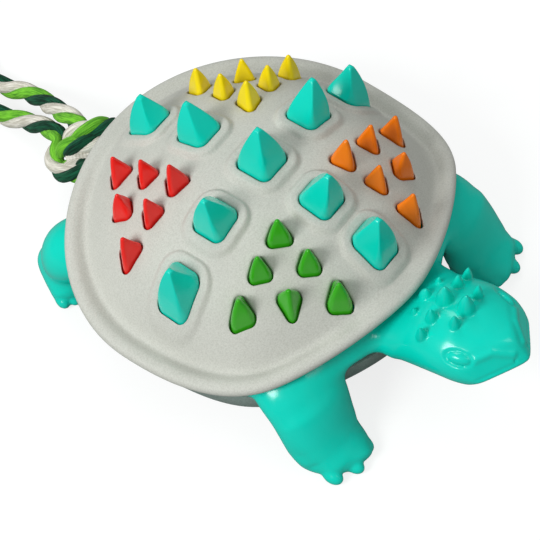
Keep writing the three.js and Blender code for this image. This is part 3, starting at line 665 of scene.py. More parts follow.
RIM_SIDES = 288
WINDOW_ROUND = 0.8
WINDOW_RINGS = (0.0, 0.08, 0.25, 0.5, 0.8, 1.3)
COLLAR_RINGS = (1.9, 2.4, 2.9, 3.4, 3.8, 4.2, 4.6, 5.0, 5.6, 6.4)
GROOVE_RINGS = (4.2, 5.0, 5.8, 6.6, 7.4, 8.2, 9.0, 10.0, 11.2)
GRID = 2.1
GRID_SPAN = (-76, 76, -68, 76)  # a box round the outline
CLEAR_OF_SQUARES = 7.2  # free points keep this far from a window, beyond the rings round it
RIM_CLEAR_OF_SQUARES = 6.7
CLEAR_OF_COLOURS = 2.2
CLEAR_OF_GROOVE = 0.8
CLEAR_OF_LIP = 0.3
LIP_SLACK = 0.2
RIM_PROFILE = (  # in from the outline, down from the crest of the lip
    (2.4, 0.1), (1.6, 0.3), (1.0, 0.62), (0.5, 1.1), (0.15, 1.75), (0.0, 2.5), (0.1, 3.4),
    (0.4, 4.15), (0.9, 4.7), (1.6, RIM_EDGE), (2.4, 4.95))
POST_ANGLES = (-29, 47, 133, -151)
POST_INSET = 12.3
POST_RADIUS = 2.6
POST_BOTTOM = 22.5
POST_BORE = 10.0
POST_EDGE = 0.3
POST_OUTER = 1.05  # its top is set by the dome at its outer side, where that is lower
SCREW_RADIUS = 1.1


def square_half(size):
    return SPIKE_SIDE * size[0] / 2 + WINDOW_CLEARANCE


def colour_radius(size):
    return COLOUR_RADIUS * size + 2 * COLOUR_CLEARANCE


def square_windows(x, y):
    corner = SPIKE_CORNER + WINDOW_CLEARANCE
    return [square_distance(x - cx, y - cy, square_half(size), corner) for cx, cy, _, size in squares]


def colour_windows(x, y):
    corner = COLOUR_CORNER + COLOUR_CLEARANCE
    places = [p for group in colours.values() for p in group]
    return [triangle_distance(x - cx, y - cy, colour_radius(size), corner, heading)
            for cx, cy, heading, size in places]


def near_squares(points):
    return np.min(square_windows(*points.T), axis=0)


def near_colours(points):
    return np.min(colour_windows(*points.T), axis=0)


def shell_top(x, y):
    depth_in = inset(x, y)
    lip = LIP_RISE * smooth_step((LIP_GROOVE - depth_in) / (LIP_GROOVE - LIP_CREST))
    near_square = np.min(square_windows(x, y), axis=0)
    nearest = np.minimum(near_square, np.min(colour_windows(x, y), axis=0))
    collar = COLLAR_RISE * (1 - smooth_step((near_square - COLLAR_FLAT) / (COLLAR_WIDTH - COLLAR_FLAT)))
    edge = np.clip(1 - nearest / WINDOW_ROUND, 0, 1)
    rounding = WINDOW_ROUND * (1 - np.sqrt(1 - edge ** 2))
    return dome(x, y) + np.maximum(lip, collar) - rounding


def triangulated(loops, points):
    # Triangles over the loops and the free points, with the places of the loops' points
    coords = [Vector(p) for loop in loops for p in loop] + [Vector(p) for p in points]
    edges, start = [], 0
    for loop in loops:
        edges += [(start + i, start + (i + 1) % len(loop)) for i in range(len(loop))]
        start += len(loop)
    found, _, triangles, origins, _, _ = delaunay_2d_cdt(coords, edges, [], 0, 1e-7)
    place_of = {i: k for k, several in enumerate(origins) for i in several}
    return np.array([p[:] for p in found]), np.array(triangles), place_of


def walled(xy, triangles, top, bottom, open_edges=frozenset()):
    # A sheet of triangles made solid between two heights; edges named as open get no wall
    count = len(xy)
    points = np.concatenate([np.column_stack([xy, top]), np.column_stack([xy, bottom])])
    a, b, c = (xy[triangles[:, k]] for k in range(3))
    area = (b[:, 0] - a[:, 0]) * (c[:, 1] - a[:, 1]) - (b[:, 1] - a[:, 1]) * (c[:, 0] - a[:, 0])
    triangles = np.where((area < 0)[:, None], triangles[:, ::-1], triangles)
    faces = [tuple(t) for t in triangles] + [tuple(t[::-1] + count) for t in triangles]
    directed = {(t[k], t[(k + 1) % 3]) for t in triangles.tolist() for k in range(3)}
    for i, j in directed:
        if (j, i) not in directed and frozenset((i, j)) not in open_edges:
            faces.append((i, i + count, j + count, j))
    return points, faces


def hexagonal(x0, x1, y0, y1, step):
    rows = np.arange(y0, y1, step * 0.866)
    points = [(x + (k % 2) * step / 2, y) for k, y in enumerate(rows) for x in np.arange(x0, x1, step)]
    return np.array(points)


def post_places():
    places = []
    for degrees in POST_ANGLES:
        t = math.radians(degrees)
        far = float(reach(math.cos(t), math.sin(t))) - POST_INSET
        places.append((far * math.cos(t), far * math.sin(t)))
    return places


posts = post_places()


def make_shell():
    rim = rim_ring(LIP_CREST, 0, RIM_SIDES)[:, :2]
    corner = SPIKE_CORNER + WINDOW_CLEARANCE
    loops = [rim]
    free = [rim_ring(depth, 0, RIM_SIDES)[:, :2] for depth in GROOVE_RINGS]
    free = [points[near_squares(points) > RIM_CLEAR_OF_SQUARES] for points in free]
    for x, y, _, size in squares:
        half = square_half(size)
        rings = [square_loop(half, corner, d, 6, 12) + (x, y) for d in WINDOW_RINGS]
        rings += [square_loop(half, corner, d, 6, 9) + (x, y) for d in COLLAR_RINGS]
        loops.append(rings[0])
        free += rings[1:]
    for group in colours.values():
        for x, y, heading, size in group:
            radius = colour_radius(size)
            rings = [triangle_loop(radius, COLOUR_CORNER + COLOUR_CLEARANCE, heading, d) + (x, y)
                     for d in WINDOW_RINGS]
            loops.append(rings[0])
            free += rings[1:]
    grid = hexagonal(*GRID_SPAN, GRID)
    clear = (near_squares(grid) > CLEAR_OF_SQUARES) & (near_colours(grid) > CLEAR_OF_COLOURS)
    grid = grid[clear & (inset(*grid.T) > GROOVE_RINGS[-1] + CLEAR_OF_GROOVE)]
    free = np.concatenate(free + [grid])
    free = free[inset(*free.T) > LIP_CREST + CLEAR_OF_LIP]
    xy, triangles, place_of = triangulated(loops, free)
    middle = xy[triangles].mean(axis=1)
    covered = np.minimum(near_squares(middle), near_colours(middle)) > 0
    triangles = triangles[covered & (inset(*middle.T) > LIP_CREST - LIP_SLACK)]
    edge = [place_of[i] for i in range(RIM_SIDES)]
    open_edges = {frozenset((edge[i], edge[(i + 1) % RIM_SIDES])) for i in range(RIM_SIDES)}
    points, faces = walled(xy, triangles, shell_top(*xy.T), dome(*xy.T) - SHELL_WALL, open_edges)
    points = list(points)
    last = edge
    for depth_in, drop in RIM_PROFILE:
        ring = list(range(len(points), len(points) + RIM_SIDES))
        points.extend(rim_ring(depth_in, drop, RIM_SIDES))
        faces += strip(last, ring)
        last = ring
    faces += strip(last, [i + len(xy) for i in edge])
    columns = []
    for x, y in posts:
        top = float(dome(x * POST_OUTER, y * POST_OUTER)) - SHELL_WALL / 2
        bore = SCREW_RADIUS + GAP
        columns.append(turned([
            (bore, POST_BOTTOM + POST_BORE), (bore, POST_BOTTOM), (POST_RADIUS - POST_EDGE, POST_BOTTOM),
            (POST_RADIUS, POST_BOTTOM + POST_EDGE), (POST_RADIUS, top)], x, y, 32))
    points, faces = joined([(points, faces)] + columns)
    shell = make_piece("upper_shell_moulding", points, faces, [shell_nylon], sharp=50.0)
    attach(shell, "toy")
    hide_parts("upper_shell")


make_shell()

# Spikes: one spike of each kind, set on its places by a node tree and joined to its plate

PAD_TOP = SHELL_WALL + 2 * GAP
PAD_PLATE = 2.0
PAD_MARGIN = 2.0
PLATE_GRID = 3.0
PLATE_APART = 4.0  # corner centres of the teal pad's plates, whose rounded edges overlap by 2
PLATE_CUT = 2.0  # taken off a colour plate at its slanting edge
PLATE_SHORTER = 5.5  # to clear the body's flange when pressed
SQUARE_TIP_CORNER = 0.4
TRIANGLE_TIP_CORNER = 0.95
SPIKE_FORM = (0.67, 0.28, 0.88)  # taper, bulge, share of the height where the tip's ball begins
COLOUR_FORM = (0.62, 0.25, 0.84)


def spike_profile(half, height, taper, bulge, high):
    # Share of the base width against share of the height: faces that taper and bulge up to a share
    # of the height, then end in a small ball
    shares = [(1 - taper * t - bulge * t * t, t) for t in np.linspace(0, high, 14)]
    start = math.atan((taper + 2 * bulge * high) * half / height)
    ball = shares[-1][0] * half / math.cos(start)
    shares += [(ball * math.cos(a) / half, high + ball * (math.sin(a) - math.sin(start)) / height)
               for a in np.linspace(start, 1.5, 7)[1:]]
    return [(width, t / shares[-1][1]) for width, t in shares]


def spike_mesh(name, loop_at, half, height, root, form):
    # loop_at gives the outline for a share of the base width. The root goes down to the plate.
    profile = [(1.0, -root / height), (1.0, -0.5 * root / height)] + spike_profile(half, height, *form)
    rings = [[(x, y, t * height) for x, y in loop_at(share)] for share, t in profile]
    points, faces = loft(rings)
    mesh = bpy.data.meshes.new(name)
    mesh.from_pydata((np.asarray(points) * MM).tolist(), [], faces)
    lift = np.clip(np.asarray(points)[:, 2] / height, 0, 1)
    mesh.attributes.new("lift", "FLOAT", "POINT").data.foreach_set("value", lift.astype(np.float32))
    spike = bpy.data.objects.new(name, mesh)
    scene.collection.objects.link(spike)
    return spike


def square_section(share):
    half = SPIKE_SIDE / 2 * share
    corner = SQUARE_TIP_CORNER + (SPIKE_CORNER - SQUARE_TIP_CORNER) * share ** 5
    return square_loop(half, min(corner, 0.96 * half), 0.0, 6, 6)


def triangle_section(share):
    radius = COLOUR_RADIUS * share
    corner = TRIANGLE_TIP_CORNER + (COLOUR_CORNER - TRIANGLE_TIP_CORNER) * share ** 3
    return triangle_loop(radius, min(corner, 0.48 * radius), 0.0, 0.0, 6, 5)


def spike_tree():
    tree = bpy.data.node_groups.new("spikes_on_shell", "GeometryNodeTree")
    sockets = {}
    for name, kind in (("Places", "NodeSocketGeometry"), ("Spike", "NodeSocketObject"),
                       ("Rubber", "NodeSocketMaterial")):
        sockets[name] = tree.interface.new_socket(name, in_out="INPUT", socket_type=kind).identifier
    tree.interface.new_socket("Spikes", in_out="OUTPUT", socket_type="NodeSocketGeometry")
    given = add(tree, "NodeGroupInput")

    def read(name, kind="FLOAT_VECTOR"):
        return add(tree, "GeometryNodeInputNamedAttribute", {"data_type": kind}, {
            "Name": name}).outputs["Attribute"]

    def vector(operation, inputs):
        return add(tree, "ShaderNodeVectorMath", {"operation": operation}, inputs).outputs

    def number(operation, a, b):
        return add(tree, "ShaderNodeMath", {"operation": operation}, {0: a, 1: b}).outputs[0]

    spike = add(tree, "GeometryNodeObjectInfo", None, {"Object": given.outputs["Spike"]})
    turn = add(tree, "FunctionNodeEulerToRotation", None, {"Euler": read("turn")})
    set_out = add(tree, "GeometryNodeInstanceOnPoints", None, {
        "Points": given.outputs["Places"], "Instance": spike.outputs["Geometry"],
        "Rotation": turn.outputs["Rotation"], "Scale": read("size")})
    real = add(tree, "GeometryNodeRealizeInstances", None, {"Geometry": set_out.outputs["Instances"]})
    lift = read("lift", "FLOAT")
    lean = vector("SCALE", {"Vector": read("lean"), "Scale": lift})["Vector"]
    here = add(tree, "GeometryNodeInputPosition").outputs["Position"]
    away = vector("SUBTRACT", {0: here, 1: read("centre")})["Vector"]
    slant = vector("DOT_PRODUCT", {0: away, 1: read("slope")})["Value"]
    follow = number("MULTIPLY", slant, number("SUBTRACT", 1.0, lift))
    drop = add(tree, "ShaderNodeCombineXYZ", None, {"Z": follow}).outputs["Vector"]
    offset = vector("ADD", {0: lean, 1: drop})["Vector"]
    moved = add(tree, "GeometryNodeSetPosition", None, {
        "Geometry": real.outputs["Geometry"], "Offset": offset})
    coated = add(tree, "GeometryNodeSetMaterial", None, {
        "Geometry": moved.outputs["Geometry"], "Material": given.outputs["Rubber"]})
    add(tree, "NodeGroupOutput", None, {"Spikes": coated.outputs["Geometry"]})
    return tree, sockets


spikes_on_shell, spike_sockets = spike_tree()


def set_spikes(places, spike, rubber):
    # places: x, y, height above the dome, heading, size (x, y, z), lean at the tip
    mesh = bpy.data.meshes.new("spike_places")
    centres = [((x, y, float(dome(x, y)) + rise) + TO_FRAME) * MM for x, y, rise, _, _, _ in places]
    mesh.from_pydata([tuple(c) for c in centres], [], [])
    slopes = [((dome(x + 1, y) - dome(x - 1, y)) / 2, (dome(x, y + 1) - dome(x, y - 1)) / 2, 0.0)
              for x, y, _, _, _, _ in places]
    values = {
        "centre": centres,
        "slope": slopes,
        "turn": [(0.0, 0.0, heading) for _, _, _, heading, _, _ in places],
        "size": [size for _, _, _, _, size, _ in places],
        "lean": [(lx * MM, ly * MM, 0.0) for _, _, _, _, _, (lx, ly) in places],
    }
    for name, rows in values.items():
        data = mesh.attributes.new(name, "FLOAT_VECTOR", "POINT").data
        data.foreach_set("vector", np.asarray(rows, np.float32).ravel())
    holder = bpy.data.objects.new("spike_places", mesh)
    scene.collection.objects.link(holder)
    modifier = holder.modifiers.new("spikes", "NODES")
    modifier.node_group = spikes_on_shell
    modifier[spike_sockets["Spike"]] = spike
    modifier[spike_sockets["Rubber"]] = rubber
    shown = holder.evaluated_get(bpy.context.evaluated_depsgraph_get())
    result = bpy.data.meshes.new_from_object(shown)
    points = np.empty(len(result.vertices) * 3)
    result.vertices.foreach_get("co", points)
    points = points.reshape(-1, 3) / MM - TO_FRAME
    faces = [tuple(p.vertices) for p in result.polygons]
    bpy.data.objects.remove(holder)
    bpy.data.meshes.remove(result)
    return points, faces


def plate(corners, radius):
    loop = corner_loop(corners, radius, 5, 10)
    lo, hi = loop.min(axis=0), loop.max(axis=0)
    grid = hexagonal(lo[0], hi[0], lo[1], hi[1], PLATE_GRID)
    keep = np.ones(len(grid), bool)
    for i in range(len(corners)):
        a, b = np.asarray(corners[i], float), np.asarray(corners[(i + 1) % len(corners)], float)
        along = (b - a) / np.linalg.norm(b - a)
        keep &= along[0] * (grid[:, 1] - a[1]) - along[1] * (grid[:, 0] - a[0]) > PLATE_GRID / 2 - radius
    xy, triangles, _ = triangulated([loop], grid[keep])
    height = dome(*xy.T)
    return walled(xy, triangles, height - PAD_TOP, height - PAD_TOP - PAD_PLATE)


def make_pad(colour, parts):
    points, faces = joined(parts)
    pad = make_piece(f"{colour}_spikes", points, faces, [pad_rubber[colour]], sharp=38.0)
    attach(pad, f"{colour}_pad")
    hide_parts(f"{colour}_spike_pad")


def make_pads():
    root = PAD_TOP + PAD_PLATE / 2
    square = spike_mesh("square_spike", square_section, SPIKE_SIDE / 2, SPIKE_HEIGHT, COLLAR_RISE + root,
                        SPIKE_FORM)
    three = spike_mesh("three_sided_spike", triangle_section, 0.7 * COLOUR_RADIUS, COLOUR_HEIGHT, root,
                       COLOUR_FORM)
    places = []
    for x, y, lean, (wide, tall) in squares:
        far = math.hypot(x, y) or 1.0
        away = SPIKE_HEIGHT * math.sin(lean)
        places.append((x, y, COLLAR_RISE, 0.0, (wide, wide, tall), (x / far * away, y / far * away)))
    half = SPIKE_SIDE / 2 + PAD_MARGIN - SPIKE_CORNER
    end_x = max(s[0] for s in squares) + half
    end_y = max(s[1] for s in squares) + half
    start_y = min(s[1] for s in squares) - half
    across = plate([(-end_x, -half), (end_x, -half), (end_x, half), (-end_x, half)], SPIKE_CORNER)
    next_y = half + PLATE_APART
    fore = plate([(-half, start_y), (half, start_y), (half, -next_y), (-half, -next_y)], SPIKE_CORNER)
    aft = plate([(-half, next_y), (half, next_y), (half, end_y), (-half, end_y)], SPIKE_CORNER)
    make_pad("teal", [across, fore, aft, set_spikes(places, square, pad_rubber["teal"])])
    for colour, (sx, sy) in QUARTERS.items():
        places = []
        for x, y, heading, size in colours[colour]:
            far = math.hypot(x, y)
            away = COLOUR_HEIGHT * size * math.sin(COLOUR_LEAN)
            places.append((x, y, 0.0, heading, (size, size, size), (x / far * away, y / far * away)))
        out = COLOUR_RADIUS + PAD_MARGIN - SPIKE_CORNER
        long = 2 * COLOUR_PITCH + out
        short = long - PLATE_SHORTER
        cut = out - PLATE_CUT
        x0, y0 = COLOUR_FIRST[sy]
        corners = [(x0 - out, y0 - out), (x0 + long, y0 - out), (x0 + long, y0 + cut),
                   (x0 + cut, y0 + short), (x0 - out, y0 + short)]
        corners = [(sx * x, sy * y) for x, y in corners]
        corners = corners if sx * sy > 0 else corners[::-1]
        make_pad(colour, [plate(corners, SPIKE_CORNER), set_spikes(places, three, pad_rubber[colour])])
    for spike in (square, three):
        bpy.data.objects.remove(spike)


make_pads()

# Rubber body: limbs, head and torso as fields of distance, joined softly and skinned.
# Both sides are alike, so one half is worked out and mirrored.

BODY_TRIANGLES = 185000
CLAY_BAND = 2.5
# Start, then ends and steps: finest at head and toes
CLAY_X = (0.0, (22, 0.45), (40, 0.75), (64, 0.5), (86, 0.75))
CLAY_Y = (-119.0, (-64, 0.45), (72, 0.85), (106, 0.7))
CLAY_Z = (-3.0, (12, 0.5), (66, 0.6))
CLAY_FAR = 40.0  # distance that stands for empty space
BODY_BLEND = 3.0
FLANGE_INSET = 6.0
FLANGE_BOTTOM = 25.0
FLANGE_LEAST = 3.0
FLANGE_SLOPE = 3.5
CAVITY_INSET = 17.2
BODY_WALL = 4.0
BODY_DEPTH = 10.4
BELLY_INSET = (6.5, 1.5, 6.5)  # side, front, rear
BELLY_BOTTOM = 16.0
BELLY_CHAMFER = 3.0
HIND_ANGLE = math.pi * 0.26
TOE = (2.9, 4.3, 3.0)
EYE = np.array([14.9, -94.5, 47.1])
EYE_ALONG = np.array([-0.21, -0.97, 0.08])
EYE_OUT = np.array([0.71, -0.15, 0.69])
EYE_SOCKET = (5.7, 3.0, 1.7)
EYE_BALL = (4.7, 2.4, 2.3)
# Lower edge of the snout, from the jaw's corner
LIP = np.array([(16.4, -103.4, 39.7), (0.0, -115.0, 44.5)])
MOUTH_SHIFT = (0.2, 0.72, 1.4)  # the mouth's line, from that edge
NOSTRIL_SHARE = 0.76  # along the mouth's line
HEAD_MIDDLE = (0, -80, 42)
CHEEK = np.array([7.4, -103.4, 48.8])  # on the facet above the lip
CHIN = np.array([6.0, -103.0, 33.0])  # on the facet below it
BROW = [(12.8, -99.2, 47.5), (7.6, -103.1, 49.1), (3.1, -109.0, 47.4)]  # ridge from the eye to the nose

HEAD = [  # y, middle height, half width, half height
    (-54, 33, 21, 7), (-67, 32.6, 20.6, 12.4), (-72, 33.9, 19.6, 14.1), (-77, 36, 19.6, 15),
    (-87, 39.4, 20, 14.1), (-95, 40.2, 19.3, 12.8), (-101, 40.6, 17.4, 11.6), (-106.5, 41.8, 14.4, 9.6),
    (-111.5, 43.4, 9, 6.4), (-115, 44.3, 4, 3.4), (-116.4, 44.5, 0.9, 0.8),
]
FRONT_LEG = [  # outward and forward of the shoulder, middle height, half width, half height
    (-20, -14, 29, 17, 6), (-12.4, -1.5, 27.4, 17.1, 9.5), (-8.6, 7.2, 21, 15.7, 9),
    (-7.3, 12.2, 9.9, 15.1, 8.7), (-7, 16.3, 4.5, 14, 8.1), (-6.4, 24.9, 4, 10.2, 5.5),
    (-5.8, 27, 3.4, 7.7, 4.4),
]
FRONT_INSTEP = [(-8, 8.5, 21.5, 13, 7.5), (-7.2, 15, 13.5, 12.5, 6.5), (-6.4, 23.5, 5.2, 9.8, 4.6)]
FRONT_WEB = [(-15, -1, 30, 8, 5), (-27, 6, 30, 7, 5), (-43, 12, 31, 7, 6)]
FRONT_TOES = [(-13.8, 26.6), (-4.9, 28.7), (3.1, 24.9)]
THIGH = [(-20, -16, 31, 12, 5.5), (-11.5, -3, 28, 13.5, 9.5), (-7, 6.5, 21, 13, 11), (-6, 9, 12, 10, 9)]
HIND_FOOT = [
    (-8.5, 18.5, 12, 5, 4.5), (-7, 15, 10, 9, 9), (-3.5, 9.5, 7.5, 9, 9), (0.5, 4.5, 4.5, 7.5, 6.5),
]
HIND_TOES = [(-3.5, 3), (1.5, 2.5), (5, 5)]
HIND_TOE_HEADING = -math.pi * 0.35
HEAD_SPIKES = [  # across, along, radius, height
    (0, -70.5, 2.7, 4), (7.5, -70.8, 1.5, 3), (0, -78.6, 3.4, 8.3), (8.2, -78.5, 2.3, 6.3),
    (14.3, -78.5, 2.1, 6), (0, -87.5, 3.3, 8.6), (7.2, -87.6, 2.1, 6.6),
]
TAIL = [(0, 63.4, TAIL_EYE_Z, 6, 3), (0, 75, TAIL_EYE_Z, 6, 6), (0, 78, TAIL_EYE_Z, 5, 5.2)]
TAIL_BORE = 4.5
TAIL_HALF_WIDTH = 12.0  # the bore goes no further out


def stepped(start, *runs):
    places = [start]
    for end, step in runs:
        while places[-1] < end:
            places.append(places[-1] + step)
    return np.array(places)


clay_axes = [stepped(*axis) for axis in (CLAY_X, CLAY_Y, CLAY_Z)]
clay_x, clay_y = clay_axes[0][:, None], clay_axes[1][None, :]
clay_z = clay_axes[2][None, None, :]


def clay_window(low, high):
    spans = []
    for axis, lo, hi in zip(clay_axes, low, high):
        first, last = (int(np.searchsorted(axis, value)) for value in (lo, hi))
        spans.append(slice(max(0, first - 1), last + 1))
    parts = np.meshgrid(*(axis[s] for axis, s in zip(clay_axes, spans)), indexing="ij", sparse=True)
    return tuple(spans), parts


def ellipsoid(parts, centre, axes, radii):
    away = [p - c for p, c in zip(parts, centre)]
    spans = [sum(a * w for a, w in zip(axis, away)) / r for axis, r in zip(axes, radii)]
    near = np.sqrt(sum(s * s for s in spans))
    slope = np.sqrt(sum((s / r) ** 2 for s, r in zip(spans, radii)))
    return near * (near - 1) / np.maximum(slope, 1e-6)


def smooth_rows(stations, steps):
    # Catmull-Rom between the stations
    rows = np.asarray(stations, float)
    line = []
    padded = np.concatenate([[2 * rows[0] - rows[1]], rows, [2 * rows[-1] - rows[-2]]])
    for k in range(1, len(padded) - 2):
        p0, p1, p2, p3 = padded[k - 1:k + 3]
        for t in np.linspace(0, 1, steps, endpoint=False):
            line.append(0.5 * (2 * p1 + (p2 - p0) * t + (2 * p0 - 5 * p1 + 4 * p2 - p3) * t * t
                               + (3 * p1 - p0 - 3 * p2 + p3) * t ** 3))
    return np.array(line + [rows[-1]])


def limb(stations, steps=14, blunt=0.7):
    line = smooth_rows(stations, steps)
    margin = line[:, 3:].max() + 6
    spans, parts = clay_window(line[:, :3].min(axis=0) - margin, line[:, :3].max(axis=0) + margin)
    places = [part.ravel() for part in parts]
    best = np.full([len(p) for p in places], CLAY_FAR)
    for k, (x, y, z, wide, tall) in enumerate(line):
        along = line[min(k + 1, len(line) - 1), :3] - line[max(k - 1, 0), :3]
        along /= np.linalg.norm(along)
        across = np.cross(along, (0, 0, 1.0))
        across /= np.linalg.norm(across)
        axes = (across, np.cross(across, along), along)
        near = max(wide, tall) + 6
        spot = tuple(slice(*np.searchsorted(p, (c - near, c + near))) for p, c in zip(places, (x, y, z)))
        local = np.meshgrid(*(p[s] for p, s in zip(places, spot)), indexing="ij", sparse=True)
        drop = ellipsoid(local, (x, y, z), axes, (wide, tall, blunt * min(wide, tall)))
        best[spot] = np.minimum(best[spot], drop)
    return spans, best


def head_and_neck():
    # Upright oval sections along the level run of the head
    rows = smooth_rows(HEAD, 12)[::-1]
    spans, (x, y, z) = clay_window((0, CLAY_Y[0], 8), (32, -50, 66))
    middle, wide, tall = (np.interp(y, rows[:, 0], rows[:, k]) for k in (1, 2, 3))
    across, up = x / wide, (z - middle) / tall
    near = np.sqrt(across ** 2 + up ** 2)
    slope = np.sqrt((across / wide) ** 2 + (up / tall) ** 2)
    return spans, np.maximum(near * (near - 1) / np.maximum(slope, 1e-6), HEAD[-1][0] - y)


def rod(points, radius):
    points = np.asarray(points, float)
    spans, parts = clay_window(points.min(axis=0) - radius - 4, points.max(axis=0) + radius + 4)
    best = 1e3
    for a, b in zip(points[:-1], points[1:]):
        e = b - a
        away = [p - c for p, c in zip(parts, a)]
        t = np.clip(sum(w * k for w, k in zip(away, e)) / np.dot(e, e), 0, 1)
        best = np.minimum(best, np.sqrt(sum((w - t * k) ** 2 for w, k in zip(away, e))))
    return spans, best - radius


def horn(base, tip, radius):
    # A pointed cone with bulging sides
    base, tip = np.asarray(base, float), np.asarray(tip, float)
    spans, parts = clay_window(base - 12, tip + 12)
    e = tip - base
    tall = np.linalg.norm(e)
    away = [p - c for p, c in zip(parts, base)]
    t = np.clip(sum(w * k for w, k in zip(away, e)) / (tall * tall), -0.4, 1)
    near = np.sqrt(sum((w - t * k) ** 2 for w, k in zip(away, e)))
    return spans, near - radius * np.clip(1 - np.clip(t, 0, 1) ** 1.7, 0.02, 1) ** 0.9


def facet(a, b, c, low, high):
    # The space behind the plane through three points, its ridge at the middle rounded off
    normal = np.cross(b - a, c - a)
    normal *= np.sign(np.dot(normal, a - HEAD_MIDDLE)) / np.linalg.norm(normal)
    spans, (x, y, z) = clay_window(low, high)
    across = np.sqrt(x * x + 4.0) - 1.0
    return spans, np.dot(normal, a) - (normal[0] * across + normal[1] * y + normal[2] * z)


def press_on(field, spans_and_part, soft):
    spans, part = spans_and_part
    field[spans] = soft_min(field[spans], part, soft)


def cut_out(field, spans_and_part, soft):
    spans, part = spans_and_part
    field[spans] = -soft_min(-field[spans], part, soft)


def head_height(x, y):
    rows = np.asarray(HEAD, float)[::-1]
    z, wide, tall = (np.interp(y, rows[:, 0], rows[:, k]) for k in (1, 2, 3))
    return z + tall * math.sqrt(max(0.0, 1 - (x / wide) ** 2))


def shoulder_place(stations):
    return [(SHOULDER[0] + s[0], SHOULDER[1] - s[1]) + tuple(s[2:]) for s in stations]


def hind_place(stations):
    far = float(reach(math.cos(HIND_ANGLE), math.sin(HIND_ANGLE)))
    x, y = far * math.cos(HIND_ANGLE), far * math.sin(HIND_ANGLE)
    return [(x + s[0], y + s[1]) + tuple(s[2:]) for s in stations]


def toe(x, y, heading):
    c, s = math.cos(heading), math.sin(heading)
    spans, parts = clay_window((x - 10, y - 10, -4), (x + 10, y + 10, 14))
    axes = ((-s, c, 0), (c, s, 0), (0, 0, 1))
    return spans, ellipsoid(parts, (x, y, TOE[0] * 0.9), axes, TOE)


def make_face(field):
    low, high = (0, CLAY_Y[0], 20), (30, -90, 62)
    for third in (CHEEK, CHIN):
        cut_out(field, facet(LIP[0], LIP[1], third, low, high), 1.4)
    press_on(field, rod(BROW, 0.9), 1.8)
    out = EYE_OUT / np.linalg.norm(EYE_OUT)
    along = EYE_ALONG - out * np.dot(out, EYE_ALONG)
    along /= np.linalg.norm(along)
    axes = (along, np.cross(out, along), out)
    spans, parts = clay_window(EYE - 14, EYE + 14)
    cut_out(field, (spans, ellipsoid(parts, EYE + 0.9 * out, axes, EYE_SOCKET)), 0.9)
    press_on(field, (spans, ellipsoid(parts, EYE - 0.7 * out, axes, EYE_BALL)), 0.2)
    mouth = LIP + MOUTH_SHIFT
    cut_out(field, rod(mouth, 0.35), 0.8)
    nostril = mouth[0] * (1 - NOSTRIL_SHARE) + mouth[1] * NOSTRIL_SHARE + (0, 0, 0.5)
    cut_out(field, rod([nostril, nostril + (-0.4, 0.8, 0.2)], 0.6), 0.4)


def limbs_field():
    field = np.full([len(axis) for axis in clay_axes], CLAY_FAR)
    press_on(field, head_and_neck(), 0.5)
    make_face(field)
    for x, y, radius, height in HEAD_SPIKES:
        z = head_height(x, y)
        press_on(field, horn((x, y, z - 0.6), (x * 1.06, y, z + 1.08 * height), radius), 0.2)
    leg = np.full(field.shape, CLAY_FAR)
    press_on(leg, limb(shoulder_place(FRONT_LEG)), 0.5)
    press_on(leg, limb(shoulder_place(FRONT_INSTEP)), 3.0)
    press_on(leg, limb(shoulder_place(FRONT_WEB)), 5.0)
    for x, y in shoulder_place(FRONT_TOES):
        press_on(leg, toe(x, y, -math.pi / 2), 1.1)
    field = soft_min(field, leg, 4.0)
    press_on(field, limb(hind_place(THIGH)), 0.5)
    press_on(field, limb(hind_place(HIND_FOOT)), 2.0)
    for x, y in hind_place(HIND_TOES):
        press_on(field, toe(x, y, HIND_TOE_HEADING), 0.9)
    press_on(field, limb(TAIL, 6, 0.6), 1.0)
    away = np.hypot(clay_axes[1][:, None] - TAIL_EYE_Y, clay_axes[2][None, :] - TAIL_EYE_Z)
    bore = away - TAIL_BORE
    near_tail = clay_axes[0] < TAIL_HALF_WIDTH
    field[near_tail] = np.maximum(field[near_tail], -bore[None])
    return field


def body_field():
    depth_in = inset(clay_x, clay_y)
    under_pads = np.maximum(dome(clay_x, clay_y) - BODY_DEPTH, FLANGE_BOTTOM + FLANGE_LEAST)
    under_rim = SHELL_TOP - by_direction(RIM_DROP, clay_x, clay_y) - RIM_EDGE - GAP
    toward = smooth_step((depth_in - FLANGE_INSET) / FLANGE_SLOPE)
    top = (under_rim * (1 - toward) + under_pads * toward)[:, :, None]
    inside = depth_in[:, :, None]
    torso = np.maximum(np.maximum(FLANGE_INSET - inside, FLANGE_BOTTOM - clay_z), clay_z - top)
    cavity = np.maximum(CAVITY_INSET - inside, clay_z - (under_pads[:, :, None] - BODY_WALL))
    torso = np.maximum(torso, -cavity)
    field = np.maximum(limbs_field(), inside - CAVITY_INSET)
    field = soft_min(field, torso, BODY_BLEND)
    field = np.maximum(field, -np.maximum(-GAP - inside, top - clay_z))
    chamfer = np.clip(BELLY_BOTTOM + BELLY_CHAMFER / 2 - GAP - clay_z, 0, None) * 2
    edge = by_direction(BELLY_INSET, clay_x, clay_y)[:, :, None] - GAP + chamfer
    belly = np.maximum(edge - inside, np.maximum(BELLY_BOTTOM - GAP - clay_z, clay_z - FLANGE_BOTTOM))
    field = np.maximum(field, -belly)
    field = np.maximum(field, -clay_z)
    for x, y in posts:
        hole = np.hypot(clay_x - abs(x), clay_y - y) - POST_RADIUS - GAP
        field = np.maximum(field, -hole[:, :, None])
    return field


